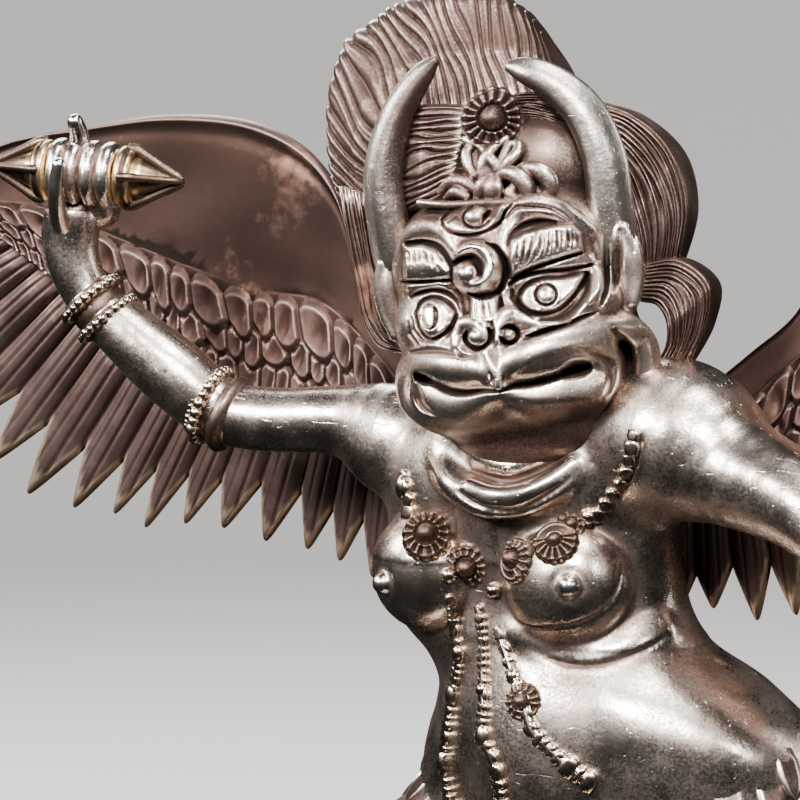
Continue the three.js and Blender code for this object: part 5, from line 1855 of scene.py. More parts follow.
@dataclass
class Necklace:
    """The collar of beads and rosettes, and three strands that hang to the belly."""

    setter: Setter
    smalls: Smalls
    # picture places down each strand
    strands: tuple = (
        ((449, 594), (455, 628), (460, 655), (454, 694), (450, 723), (445, 764), (450, 800),
         (452, 830)),
        ((479, 604), (483, 638), (484, 670), (485, 706), (484, 735), (494, 759), (501, 790),
         (503, 818)),
        ((497, 626), (506, 650), (513, 672), (525, 699), (532, 728), (554, 752), (574, 769),
         (596, 785)),
    )
    # half widths at the top, near the middle and at the end of each strand
    widths: tuple = ((1.3, 1.75, 1.9), (1.3, 1.6, 1.9), (1.35, 1.95, 2.7))
    # picture place and radius of each lump
    collar: tuple = (
        (634, 436, 1.7), (632, 448, 1.9), (629, 460, 1.7), (625, 472, 1.9), (620, 484, 1.8),
        (613, 495, 2.0), (605, 505, 1.8), (597, 515, 2.0), (588, 523, 1.9), (404, 476, 1.7),
        (405, 488, 2.0), (410, 500, 1.8), (410, 512, 2.4), (416, 523, 1.8),
    )
    # picture place, half width and half height of each large bead
    large: tuple = (
        (454, 694, 2.0, 2.5), (445, 762, 1.8, 2.9), (460, 652, 1.5, 1.7), (484, 736, 1.9, 2.6),
        (484, 690, 1.3, 1.6), (514, 676, 1.6, 1.9), (588, 516, 1.7, 1.7), (404, 487, 1.7, 2.6),
        (449, 575, 1.7, 1.6), (494, 590, 1.7, 1.6),
    )
    # picture place, radius, ribs, boss, top, arc and squash of each rosette
    rosettes: tuple = (
        (427, 537, 4.9, 15, 0.42, (0, 0, 1), 1.0, 0.96),
        (467, 565, 4.2, 14, 0.46, (0.6, 0, 0.5), 0.7, 1.0),
        (517, 561, 4.2, 14, 0.44, (0.8, 0, 0.5), 0.6, 1.0),
        (556, 543, 4.3, 15, 0.3, (0.2, 0, -1), 0.6, 1.0),
        (524, 702, 3.6, 13, 0.46, (-0.5, 0, 1), 0.7, 1.0),
        (571, 526, 2.8, 10, 0.45, (0, 0, 1), 1.0, 1.0),
    )

    def hang(self, clay: Clay, parts: Parts, random: np.random.Generator, strand: Rows,
             widths: tuple[float, ...]) -> list[tuple]:
        """One strand: adds its cord, and finds the places of its uneven lumps.

        Args:
            clay: the body's clay.
            parts: the shells that the cord joins.
            random: the source of its unevenness.
            strand: picture places down it.
            widths: its half widths.

        Returns:
            Place, aim, top and three scales of each lump.
        """
        laid = clay.on([(x, y, 1.0, 0.15) for x, y in strand])[:, :3]
        length = np.linalg.norm(np.diff(laid, axis=0), axis=1).sum()
        halves, lumps = [], []
        while sum(halves) * 1.7 < length:
            small = random.random() < 0.7
            halves.append(random.uniform(*((0.75, 1.15) if small else (1.5, 2.1))))
        shares = (np.cumsum(halves) - 0.5 * np.array(halves)) / sum(halves)
        path = even_path(laid.tolist(), shares)
        normals, ways = clay.normals(path), unit(np.gradient(path, axis=0))
        broad = np.interp(shares, (0, 0.45, 1), widths) * random.uniform(0.88, 1.15, len(path))
        cord = np.concatenate([path, 0.6 * broad[:, None]], axis=1)
        parts.add(*swept(cord, normals, 8, STANDING))
        for spot, out, way, half, wide in zip(path, normals, ways, halves, broad):
            way = way + random.uniform(-0.3, 0.3) * np.cross(out, way)
            lumps.append((spot + STANDING, out, way, (wide, half * 1.12, 0.72 * wide)))
        return lumps

    def build(self, clay: Clay) -> Thing:
        """The whole necklace on the body.

        Args:
            clay: the body's clay.

        Returns:
            One piece.
        """
        parts = Parts()
        lumps, beads = [], []
        random = np.random.default_rng(31)
        for strand, widths in zip(self.strands, self.widths):
            lumps += self.hang(clay, parts, random, strand, widths)
        for x, y, radius in self.collar:
            spot = clay.spot(x, y)
            lumps.append((spot + STANDING, clay.outward(spot), (0, 0, 1),
                          (radius, radius * 1.1, radius * 0.7)))
        for x, y, wide, tall in self.large:
            spot = clay.spot(x, y, 0.2)
            beads.append((spot + STANDING, clay.outward(spot), (0.1, 0, 1), (wide, tall, 1.5)))
        parts.add_mesh(self.setter.run("lumps", self.smalls[Small.NUGGET], lumps, 0.08, 5))
        parts.add_mesh(self.setter.run("beads", self.smalls[Small.BEAD], beads, 0.0, 5))
        for x, y, radius, ribs, boss, top, arc, squash in self.rosettes:
            spot = clay.spot(x, y)
            out = unit(clay.outward(spot) + 0.3 * unit(SIGHT.eye - spot))
            parts.add(*disc(spot + STANDING, out, top, radius, ribs, boss, arc, squash))
        return parts.piece("figure_necklace", 2, 8)


def swept(rows: Array, ups: Array, sides: int, shift: Array, twist: Optional[Array] = None
          ) -> tuple[Array, Array]:
    """A round tube along rows of x, y, z and radius, as a closed shell.

    Args:
        rows: the path.
        ups: a direction off the path at each row.
        sides: how many sides it gets.
        shift: what is added to its points.
        twist: how wide it is along ups, as a share of its radius.

    Returns:
        Points and faces of four corners.
    """
    ways = unit(np.gradient(rows[:, :3], axis=0))
    side = unit(np.cross(ways, ups))
    up = np.cross(side, ways)
    angle = np.linspace(0, 2 * math.pi, sides, endpoint=False)
    wide = np.ones(len(rows)) if twist is None else twist
    out = np.cos(angle)[None, :, None] * side[:, None] + (
        (np.sin(angle)[None, :] * wide[:, None])[..., None] * up[:, None]
    )
    rings = rows[:, None, :3] + rows[:, 3][:, None, None] * out
    points, faces = tube_of_rings(rings)
    return points + shift, faces


@dataclass
class Band:
    """A ring on a limb: a turned core with its rims, and rows of beads round it."""

    limb: list
    share: float
    radius: float
    width: float
    rings: tuple  # place across the width from -1 to 1, reach beyond the radius and half width
    beads: tuple = ()  # place across the width, reach, bead size and count
    tilt: tuple[float, float, float] = (0.0, 0.0, 0.0)
    sides: int = 64

    def build(self, parts: Parts, row: PathRow, smalls: Smalls) -> None:
        """Adds the band to a piece."""
        centre, way, _ = limb_at(self.limb, self.share)
        way = unit(way + np.array(self.tilt))
        u = unit(np.cross(way, (0.3, 0.93, 0.2)))
        v = np.cross(way, u)
        x = np.linspace(-1, 1, 41)
        lift = np.zeros_like(x)
        for place, reach, half in self.rings:
            lift = np.maximum(lift, reach * np.sqrt(np.clip(1 - ((x - place) / half) ** 2, 0, 1)))
        inner = self.radius * 0.62
        profile = [(inner, x[0])] + list(zip(self.radius + lift, x)) + [(inner, x[-1])]
        angle = np.linspace(0, 2 * math.pi, self.sides, endpoint=False)
        ring = np.cos(angle)[:, None] * u + np.sin(angle)[:, None] * v
        rings = np.stack([centre + r * ring + way * (w * self.width / 2) for r, w in profile])
        i, j = np.meshgrid(np.arange(len(profile)), np.arange(self.sides), indexing="ij")
        here, over = i * self.sides, (i + 1) % len(profile) * self.sides
        after = (j + 1) % self.sides
        faces = np.stack([here + j, here + after, over + after, over + j], axis=-1)
        parts.add(rings.reshape(-1, 3) + STANDING, faces.reshape(-1, 4))
        for n, (place, reach, size, count) in enumerate(self.beads):
            middle = centre + way * place * self.width / 2 + STANDING
            path = np.array(circle(middle, way, self.radius + reach, 0.0, 72))[:, :3]
            parts.add_mesh(row.run("bead_row", smalls[Small.BEAD], path, count, size, 0.14, 7 + n))


@dataclass
class Bands:
    """The bracelets, armlets and anklets."""

    row: PathRow
    smalls: Smalls

    def build(self) -> Thing:
        """All the bands as one piece."""
        parts = Parts()
        bracelet = dict(width=8.6, rings=((-0.62, 1.0, 0.3), (0.62, 1.0, 0.3), (0.0, 0.3, 0.3)),
                        beads=((-0.62, 0.9, 1.05, 24), (0.62, 0.9, 1.05, 24)))
        anklet = dict(width=6.0, rings=((0.0, 0.9, 0.6),), beads=((0.0, 1.0, 0.9, 26),))
        for band in (
            Band(RIGHT_ARM, 0.745, 5.6, tilt=(0.25, 0, -0.1), **bracelet),
            Band(LEFT_ARM, 0.745, 5.8, **bracelet),
            Band(RIGHT_ARM, 0.445, 6.5, width=8.0, rings=((-0.5, 1.6, 0.42), (0.55, 0.6, 0.4)),
                 beads=((0.55, 1.0, 1.3, 24), (0.99, 0.2, 0.7, 34))),
            Band(LEFT_ARM, 0.47, 8.4, width=8.0, rings=((0.5, 1.5, 0.42), (-0.5, 0.7, 0.4)),
                 beads=((-0.5, 0.9, 1.25, 24), (-0.98, 0.0, 0.7, 34))),
            *(Band(leg.shank, 0.86, 5.6, **anklet) for leg in LEGS),
        ):
            band.build(parts, self.row, self.smalls)
        return parts.piece("figure_bands", 2, 6)


@dataclass
class Plumes:
    """The small feathers that cover the thighs and the hips, laid in rows like scales."""

    setter: Setter
    smalls: Smalls
    rows: int = 12
    around: int = 15

    def build(self, clay: Clay) -> Thing:
        """All the plumes as one piece, set on the body."""
        places = []
        for leg in LEGS:
            path = smooth_path(leg.thigh, 101)
            for n in range(self.rows):
                share = 0.2 + 0.72 * n / (self.rows - 1)
                i = int(share * 100)
                centre = path[i]
                way = unit(path[min(i + 2, 100), :3] - path[i - 2, :3])
                u = unit(np.cross(way, (0, -1, 0)))
                v = np.cross(u, way)
                count = max(int(self.around * centre[3] / 16.5 + 0.5), 9)
                for k in range(count):
                    angle = 2 * math.pi * (k + 0.5 * (n % 2)) / count
                    out = math.cos(angle) * u + math.sin(angle) * v
                    start = centre[:3] + out * (centre[3] + 14)
                    spot = clay.met(start[None], -out[None], centre[3] + 14)[0]
                    if np.linalg.norm(spot - centre[:3]) > centre[3] + 3.5:
                        continue
                    face = clay.outward(spot)
                    long = 2.6 * centre[3] / 16.5 + 1.9
                    aim = unit(face + 0.22 * -way)
                    places.append((spot + 0.2 * face + STANDING, aim, way, (long, long * 1.25, 2.4)))
        parts = Parts()
        parts.add_mesh(self.setter.run("plumes", self.smalls[Small.PLUME], places, 0.1, 9))
        return parts.piece("figure_plumes", 2, 6)


# Wings.


@dataclass
class Wing:
    """One wing: a smooth shoulder with a rolled rim, two rows of lobed coverts and long primaries."""

    side: int
    thickness: float = 3.0
    feathers: int = 21
    across: int = 700
    along: int = 250
    most: int = 100000
    notch: float = 0.6
    # place down the wing, and how much it is rubbed there
    rubbed: tuple = ((0.26, -1.1), (0.31, -0.3), (0.55, -0.3), (0.62, 0.35), (0.93, 0.35), (0.99, 1.6))
    # across, back and height along each border, from the root to the outer end
    edge: tuple = ((3, 20.5, 158), (16, 19.5, 165), (30, 20, 174.5), (38, 21, 181), (46, 22, 188),
                   (51, 23, 198), (56, 23.5, 211.4), (64, 24, 220), (78, 25, 226), (100, 26.5, 228),
                   (122, 27, 226), (147, 27, 222), (162, 28, 214))
    coverts: tuple = ((4, 19.5, 152), (22, 19.5, 158), (34, 20, 168), (49.6, 22, 182),
                      (60.6, 24, 188.5), (77, 25, 190.5), (97, 26, 196), (116, 27, 202),
                      (135, 27.5, 208), (156, 28, 210))
    primaries: tuple = ((4, 19.5, 144), (18, 19.5, 147), (30, 20, 152), (44, 21, 160), (58, 22.5, 166),
                        (74, 24, 169), (93, 25.5, 173), (112, 27, 181), (130, 28, 191), (152, 29, 204))
    tips: tuple = ((5, 19.5, 134), (17, 20, 131), (31, 20.5, 130), (47, 21.5, 131.5), (66, 23, 137),
                   (88, 24.5, 138), (112, 26, 138.5), (138, 28, 141), (158, 30, 153), (168, 31, 171),
                   (170, 31, 188), (166, 31, 202))

    @property
    def name(self) -> str:
        """The wing's node."""
        return "wing_left" if self.side > 0 else "wing_right"

    def slots(self, t: Array) -> tuple[Array, Array]:
        """Each place's feather, and where it lies across that feather, from -1 to 1."""
        place = t**0.86 * self.feathers + 0.12 * np.sin(t * 23) * np.sin(math.pi * t)
        number = np.clip(place.astype(int), 0, self.feathers - 1)
        return number, np.clip((place - number - 0.5) * 2, -1, 1)

    def lobes(self, t: Array, v: Array, count: int, lean: float, sharp: float) -> tuple[Array, Array]:
        """One row of overlapping lobes.

        Args:
            t: place across the wing, from 0 to 1.
            v: place down the row, from 0 to 1 at its lobes' tips.
            count: how many lobes.
            lean: how far they slant, in lobes.
            sharp: how hollow their middles are.

        Returns:
            Height, and a mask of where the lobes are.
        """
        place = np.maximum(t * count + lean * v + 0.2 * np.sin(t * count * 1.7), 0)
        number = place.astype(int)
        odd = np.random.default_rng(count + self.side).uniform(-1, 1, (3, count + 3))[:, number]
        a = (place - number - 0.5) * 2
        end = 0.93 + 0.09 * odd[0] - 0.3 * np.abs(a) ** 2.4 + 0.06 * a * odd[1]
        start = 0.02 + 0.2 * np.abs(a) ** 2.5 + 0.04 * odd[2]
        inside = (v < end) & (v > start)
        depth = np.clip(np.minimum(np.minimum((end - v) / 0.3, (v - start) / 0.3),
                                   (1 - np.abs(a)) / 0.55), 0, 1)
        border = np.exp(-(((depth - 0.42) / 0.22) ** 2))
        slant = a - 1.3 * (v - 0.5) + 0.25 * odd[1]
        hollow = np.exp(-((slant / 0.36) ** 2) - ((v - 0.5) / 0.26) ** 2)
        height = step_up(depth, 0.0, 0.5) + 0.45 * v + 0.08 * border - sharp * hollow + 0.2 * odd[2]
        return np.where(inside, height, 0), inside

    def relief(self, t: Array, w: Array, zone: Array, share: Array) -> Array:
        """How far the front stands above the plate.

        Args:
            t: place across the wing, from 0 to 1.
            w: place down the zone, from 0 to 1.
            zone: 0 on the shoulder, 1 on the coverts and 2 on the primaries.
            share: place down the whole wing.

        Returns:
            Heights in millimetres.
        """
        random = np.random.default_rng(29 + self.side)
        wave = 0.14 * np.sin(17 * t + 5 * share) + 0.1 * np.sin(31 * t - 9 * share)
        rim = 0.9 * np.exp(-(((w - 0.035) / 0.026) ** 2)) - 0.35 * np.exp(-(((w - 0.1) / 0.05) ** 2))
        shoulder = rim - 0.45 * np.sin(math.pi * w) + wave * w
        bed = 0.25 - 0.25 * step_up(w, 0.0, 0.15)
        first, on_first = self.lobes(t, w / 0.6, 23, 0.7, 0.95)
        second, on_second = self.lobes(t, (w - 0.36) / 0.46, 29, 0.6, 0.8)
        third, on_third = self.lobes(t, (w - 0.66) / 0.5, 33, 0.5, 0.7)
        lobes = np.where(on_third, third - 0.1, bed)
        lobes = np.where(on_first, first + 0.5, np.where(on_second, second + 0.15, lobes))
        number, a = self.slots(t)
        place, size = random.uniform(-1, 1, (2, self.feathers))[:, number]
        line = lambda middle, half: np.exp(-(((a - middle) / half) ** 2))
        long = 1.25 * (1 - np.abs(a) ** 2.6) + 0.3 * a + 0.25 * size
        long = long - 0.42 * line(-0.32 + 0.1 * place, 0.09) - 0.36 * line(0.28 + 0.1 * place, 0.08)
        sides = np.exp(-(((1 - np.abs(a)) / 0.09) ** 2))
        long = long - 0.2 * line(0.66, 0.06) - 0.9 * sides + 0.25 * wave
        long = long * (0.45 + 0.55 * step_up(w, 0.0, 0.2)) * (1 - 0.3 * w**3)
        return np.where(zone == 0, shoulder, np.where(zone == 1, lobes, long))

    def sheet(self, t: Array) -> tuple[Array, Array]:
        """The wing's middle sheet between its guides, and how far its front stands above it.

        Args:
            t: places across the wing, from 0 to 1.

        Returns:
            Points across by down by three, and heights in millimetres.
        """
        side = np.array((self.side, 1.0, 1.0))
        knots = [even_path([list(p) for p in guide], t**drawn) * side
                 for guide, drawn in ((self.edge, 1.0), (self.coverts, 1.0), (self.primaries, 1.0),
                                      (self.tips, 1.18))]
        number, a = self.slots(t)
        random = np.random.default_rng(41 + self.side)
        stretch, skew = random.uniform(-1, 1, (2, self.feathers))[:, number]
        point = np.clip(1.08 - np.sqrt((a - 0.15 * skew) ** 2 + 0.006), 0, 1) ** 1.1
        reach = self.notch + (1 + 0.05 * stretch - self.notch) * point
        band = int(self.along * 0.3)
        front, zones = [], []
        for zone, count in enumerate((band, band, self.along - 2 * band)):
            w = np.linspace(0, 1, count, endpoint=zone == 2)
            go = w[None, :] * (reach[:, None] if zone == 2 else 1.0)
            drop = knots[zone + 1] - knots[zone]
            front.append(knots[zone][:, None] + drop[:, None] * go[..., None])
            places, downs = np.meshgrid(t, w, indexing="ij")
            zones.append(self.relief(places, downs, np.full(places.shape, zone), downs + zone))
        return np.concatenate(front, axis=1), np.concatenate(zones, axis=1)

    def build(self) -> Thing:
        """The wing in the plinth's frame, standing for its node."""
        t = np.linspace(0, 1, self.across)
        sheet, height = self.sheet(t)
        a = self.slots(t)[1]
        rows = sheet.shape[1]
        down = np.linspace(0, 1, rows)[None, :]
        u = np.linspace(0, 1, len(t))[:, None]
        ends = np.minimum(np.minimum(u, 1 - u) * 170, np.minimum(down * 60, (1 - down) * 46))
        fall = np.sqrt(1 - (1 - np.clip(ends / 1.6, 0, 1)) ** 2) * (1 - 0.35 * step_up(down, 0.6, 1.0))
        half = 0.15 + (self.thickness / 2 - 0.15) * fall
        back = 0.4 * (1 - np.abs(a[:, None]) ** 2) * step_up(down, 0.55, 0.75) * fall
        forward = np.array((0.0, -1.0, 0.0))
        face = sheet + forward * (half + height * fall)[..., None]
        rear = sheet - forward * (half + back)[..., None]
        rings = np.concatenate([face, rear[:, ::-1]], axis=1)
        parts = Parts()
        parts.add(rings.reshape(-1, 3) + STANDING, grid_faces(len(t), 2 * rows, True))
        worn = np.repeat(np.concatenate([down, down[:, ::-1]], axis=1), len(t), axis=0).ravel()
        return parts.piece("garuda_" + self.name, 4, 24, self.most, np.interp(worn, *zip(*self.rubbed)))


# The thunderbolt.


@dataclass
class Thunderbolt:
    """A short grip between two heads, each of four closed prongs round a dark core."""

    grip_radius: float = 3.0
    grip_length: float = 14.4
    head_length: float = 12.8
    head_radius: float = 6.2

    def build(self) -> Thing:
        """The thunderbolt in the plinth's frame, standing for its node."""
        parts = Parts()
        u = unit(np.cross(GRIP, (0, 0, 1)))
        up = np.cross(u, GRIP)
        up = up if up[2] > 0 else -up
        at = lambda along, a, r: RIGHT_FIST + along * GRIP + r * (math.cos(a) * up + math.sin(a) * u)
        half = self.grip_length / 2
        knots = np.linspace(-half - 1, half + 1, 60)
        bulge = self.grip_radius * (0.8 + 0.2 * np.cos(knots / half * 2.4 * math.pi) ** 2)
        parts.add(*turned(RIGHT_FIST, GRIP, up, list(zip(bulge, knots)), 40))
        for end in (1, -1):
            start, reach = end * half, end * self.head_length
            base = [(0.5, 0.0), (0.9, 0.0), (1.0, 0.05), (0.98, 0.11), (0.86, 0.15), (0.92, 0.19),
                    (0.82, 0.24), (0.5, 0.24)]
            core = [(0.5, 0.1), (0.68, 0.2), (0.54, 0.4), (0.36, 0.62), (0.17, 0.84), (0.06, 0.95)]
            for shape, sides in ((base, 48), (core, 32)):
                profile = [(r * self.head_radius, start + h * reach) for r, h in shape]
                parts.add(*turned(RIGHT_FIST, GRIP, up, profile, sides))
            for k in range(4):
                a = k * math.pi / 2
                rows = [(0.12, 0.92, 0.14), (0.22, 0.9, 0.15), (0.42, 0.7, 0.13), (0.6, 0.5, 0.12),
                        (0.78, 0.31, 0.12), (0.93, 0.15, 0.12), (1.0, 0.07, 0.09)]
                path = np.array([[*at(start + h * reach, a, r * self.head_radius), w * self.head_radius]
                                 for h, r, w in rows])
                path = smooth_path(path.tolist(), 28)
                outs = np.array([at(0, a, 1.0) - RIGHT_FIST] * len(path))
                parts.add(*swept(path, outs, 10, STANDING, np.full(len(path), 1.25)))
        return parts.piece("garuda_thunderbolt", 3, 10)


def turned(centre: Array, axis: Array, top: Array, profile: Sequence[tuple], sides: int
           ) -> tuple[Array, Array]:
    """A closed turned shell in the plinth's frame.

    Args:
        centre: the origin of the profile's heights, in the figure's frame.
        axis: the way the heights run.
        top: where the turn starts.
        profile: radius and height of each row.
        sides: how many sides it gets.

    Returns:
        Points and faces of four corners.
    """
    side = np.cross(axis, top)
    angle = np.linspace(0, 2 * math.pi, sides, endpoint=False)
    ring = np.cos(angle)[:, None] * top + np.sin(angle)[:, None] * side
    rows = np.array([centre + r * ring + h * axis for r, h in profile])
    return rows.reshape(-1, 3) + STANDING, grid_faces(len(profile), sides, True)


# The plinth.


@dataclass
class Plinth:
    """An oval lotus plinth: a foot, two rows of petals, a bead row and a plain top."""

    setter: Setter
    row: PathRow
    smalls: Smalls
    length: float = 70.0
    width: float = 33.0
    height: float = 29.0
    flare: float = 6.0
    fullness: float = 2.2
    petals: int = 32
    beads: int = 110
    sides: int = 220

    def outline(self, reach: float, count: int) -> tuple[Array, Array]:
        """Points of the oval at even steps, and the outward directions there."""
        a, b = self.length + reach, self.width + reach
        angle = np.linspace(0, 2 * math.pi, 4001)
        c, s = np.cos(angle), np.sin(angle)
        x = np.sign(c) * np.abs(c) ** (2 / self.fullness) * a
        y = np.sign(s) * np.abs(s) ** (2 / self.fullness) * b
        along = np.concatenate(([0.0], np.cumsum(np.hypot(np.diff(x), np.diff(y)))))
        at = np.linspace(0, along[-1], count, endpoint=False)
        x, y = np.interp(at, along, x), np.interp(at, along, y)
        out = unit(np.stack([np.sign(x) * np.abs(x / a) ** (self.fullness - 1) / a,
                             np.sign(y) * np.abs(y / b) ** (self.fullness - 1) / b, 0 * x], axis=-1))
        return np.stack([x, y, 0 * x], axis=-1), out

    def build(self) -> Thing:
        """The plinth, standing for its node."""
        parts = Parts()
        f, h = self.flare, self.height
        profile = [(-30.0, 0.0), (f - 0.6, 0.0), (f, 0.5), (f, 3.6), (f - 0.7, 4.4), (f - 1.6, 4.7),
                   (f - 2.0, 5.4), (f - 1.4, 6.4), (f - 3.0, 8.0), (f - 4.2, 10.6), (f - 5.0, 12.6),
                   (f - 5.2, 13.6), (f - 5.2, 14.6), (f - 4.6, 17.4), (f - 5.4, 20.4), (f - 7.4, 22.6),
                   (f - 7.6, 23.6), (f - 6.6, 24.5), (f - 6.1, 25.4), (f - 6.0, 28.2), (f - 6.4, 28.8),
                   (f - 7.2, h), (-30.0, h)]
        rings = []
        for reach, z in profile:
            points, _ = self.outline(reach, self.sides)
            rings.append(points + (0, 0, z))
        parts.add(*closed_rings(np.array(rings)))
        placed = []
        for z, reach, long, wide, flip, offset in (
            (9.4, f - 2.2, 4.9, 7.6, -1, 0.0), (18.4, f - 4.0, 4.9, 7.6, 1, 0.5),
            (10.2, f - 3.4, 3.7, 5.4, -1, 0.5), (17.8, f - 5.0, 3.7, 5.4, 1, 0.0),
        ):
            points, outs = self.outline(reach, self.petals * 2)
            for k in range(int(offset * 2), self.petals * 2, 2):
                aim = unit(outs[k] + (0, 0, 0.25 * flip))
                placed.append((points[k] + (0, 0, z), aim, (0, 0, flip), (wide, long, 3.2)))
        parts.add_mesh(self.setter.run("petals", self.smalls[Small.PETAL], placed, 0.0, 3))
        ring, _ = self.outline(f - 7.0, 400)
        path = np.concatenate([ring, ring[:1]]) + (0, 0, 23.6)
        parts.add_mesh(self.row.run("plinth_beads", self.smalls[Small.BEAD], path, self.beads, 1.25,
                                    0.06, 2))
        return parts.piece("garuda_plinth", 3, 12)


def closed_rings(rings: Array) -> tuple[Array, Array]:
    """Rings of points as one closed shell, its first and last ring drawn together in the middle."""
    ends = [ring.mean(0) + (ring - ring.mean(0)) * 0.01 for ring in (rings[0], rings[-1])]
    rows = np.concatenate([ends[:1], rings, ends[1:]])
    return rows.reshape(-1, 3), grid_faces(len(rows), rings.shape[1], True)


# Finishes.


class Shader(Nodes):
    """A material's or a shader group's nodes."""

    def ramp(self, value: object, low: float, high: float, start: float = 0.0, end: float = 1.0
             ) -> Socket:
        """A smooth change from start at low to end at high."""
        node = self.node("ShaderNodeMapRange", {"interpolation_type": "SMOOTHSTEP"})
        for key, item in zip(range(5), (value, low, high, start, end)):
            self.feed(node, str(key), item)
        return node.outputs[0]

    def noise(self, place: object, scale: object, detail: float = 4.0, rough: float = 0.55
              ) -> Socket:
        """Soft noise at a place."""
        return self.node("ShaderNodeTexNoise", Vector=place, Scale=scale, Detail=detail,
                         Roughness=rough).outputs[0]

    def mix(self, share: object, first: object, second: object) -> Socket:
        """Two colours mixed."""
        node = self.node("ShaderNodeMix", {"data_type": "RGBA"})
        for key, item in ((0, share), (6, first), (7, second)):
            self.feed(node, str(key), item)
        return node.outputs[2]


def shader_group(name: str, inputs: Sequence[tuple], outputs: Sequence[tuple]) -> tuple:
    """An empty shader group with named sockets.

    Args:
        name: its name.
        inputs: name, kind and starting value of each input.
        outputs: name and kind of each output.

    Returns:
        The group, its shader helper, its input node and its output node.
    """
    group = bpy.data.node_groups.new(name, "ShaderNodeTree")
    for label, kind, value in inputs:
        socket = group.interface.new_socket(label, in_out="INPUT", socket_type="NodeSocket" + kind)
        if value is not None:
            socket.default_value = value
    for label, kind in outputs:
        group.interface.new_socket(label, in_out="OUTPUT", socket_type="NodeSocket" + kind)
    shader = Shader(group)
    return group, shader, group.nodes.new("NodeGroupInput"), group.nodes.new("NodeGroupOutput")


class SharedEffects:
    """The effects that the finishes share: where the metal is rubbed, stained and pitted, and where its
    hollows are darkened by tarnish and by painted shade.
    """

    def __init__(self) -> None:
        """Builds each group once."""
        self.rub = self.build_rub()
        self.cast = self.build_cast()
        self.stain = self.build_stain()

    def build_rub(self) -> Tree:
        """How far the plating is rubbed bright, from what stands out, and how dark the hollows are,
        partly tarnish and partly painted shade.
        """
        group, s, start, end = shader_group(
            "rubbed_metal",
            [("Place", "Vector", None), ("Fine", "Float", 0.0), ("Broad", "Float", 0.0),
             ("Bias", "Float", 0.0), ("Scale", "Float", 90.0), ("Speckle", "Float", 1.0)],
            [("Bright", "Float"), ("Grime", "Float"), ("Edge", "Float")],
        )
        place, scale = start.outputs["Place"], start.outputs["Scale"]
        cloud = s.noise(place, scale, 4.0, 0.5)
        speck = s.noise(place, 1900.0, 4.0, 0.65)
        cloud = s.math("MULTIPLY", s.math("SUBTRACT", cloud, 0.5), 2.4)
        speck = s.math("MULTIPLY", s.math("SUBTRACT", speck, 0.5),
                       s.math("MULTIPLY", start.outputs["Speckle"], 2.6))
        high = s.math("ADD", s.math("MULTIPLY", start.outputs["Fine"], 5.0),
                      s.math("MULTIPLY", start.outputs["Broad"], 1.3))
        total = s.math("ADD", s.math("ADD", high, cloud), s.math("ADD", speck, start.outputs["Bias"]))
        s.feed(end, "Bright", s.ramp(total, -0.8, 1.0))
        # painted shade: what lies in hollows is darkened towards near-black, partly tarnish and partly
        # the shade that falls there
        low = s.math("ADD", s.math("MULTIPLY", start.outputs["Fine"], -4.5),
                     s.math("MULTIPLY", start.outputs["Broad"], -1.1))
        low = s.math("ADD", low, s.math("MULTIPLY", s.math("SUBTRACT", speck, cloud), 0.45))
        s.feed(end, "Grime", s.ramp(low, 0.45, 2.2))
        high = s.math("ADD", high, start.outputs["Bias"])
        s.feed(end, "Edge", s.ramp(s.math("ADD", high, s.math("MULTIPLY", speck, 0.5)), 0.8, 2.0))
        return group

    def build_cast(self) -> Tree:
        """The cast skin's height: grain, small pits and fine scratches."""
        group, s, start, end = shader_group(
            "cast_skin",
            [("Place", "Vector", None), ("Grain", "Float", 1.0), ("Pits", "Float", 1.0),
             ("Scratches", "Float", 1.0)],
            [("Height", "Float"), ("Pitted", "Float")],
        )
        place = start.outputs["Place"]
        grain = s.math("ADD", s.math("MULTIPLY", s.noise(place, 300.0, 4.0, 0.5), 0.9),
                       s.math("MULTIPLY", s.noise(place, 1500.0, 2.0, 0.5), 0.16))
        cells = s.node("ShaderNodeTexVoronoi", Vector=place, Scale=1300.0).outputs["Distance"]
        spread = s.ramp(s.noise(place, 90.0, 4.0), 0.54, 0.72)
        pit = s.math("MULTIPLY", s.ramp(cells, 0.3, 0.1), spread)
        squeezed = s.node("ShaderNodeMapping", Vector=place, Rotation=(0.3, 0.5, 0.9),
                          Scale=(60.0, 2600.0, 900.0)).outputs[0]
        lines = s.ramp(s.noise(squeezed, 1.0, 2.0), 0.66, 0.74)
        height = s.math("MULTIPLY", grain, start.outputs["Grain"])
        height = s.math("SUBTRACT", height, s.math("MULTIPLY", pit,
                                                   s.math("MULTIPLY", start.outputs["Pits"], 0.25)))
        height = s.math("SUBTRACT", height, s.math("MULTIPLY", lines,
                                                   s.math("MULTIPLY", start.outputs["Scratches"], 0.3)))
        s.feed(end, "Height", height)
        s.feed(end, "Pitted", pit)
        return group

    def build_stain(self) -> Tree:
        """Where the copper of the alloy shows through, in broad uneven patches."""
        group, s, start, end = shader_group(
            "copper_stain", [("Place", "Vector", None), ("Amount", "Float", 0.5)], [("Stain", "Float")]
        )
        place = start.outputs["Place"]
        patch = s.math("ADD", s.noise(place, 34.0, 5.0, 0.6),
                       s.math("MULTIPLY", s.noise(place, 260.0, 4.0), 0.35))
        shift = s.math("SUBTRACT", 1.02, s.math("MULTIPLY", start.outputs["Amount"], 0.4))
        s.feed(end, "Stain", s.ramp(s.math("SUBTRACT", patch, shift), -0.06, 0.14))
        return group

    def use(self, shader: Shader, group: Tree, **inputs: object) -> Node:
        """A group's node in a material."""
        node = shader.tree.nodes.new("ShaderNodeGroup")
        node.node_tree = group
        for key, value in inputs.items():
            shader.feed(node, key, value)
        return node


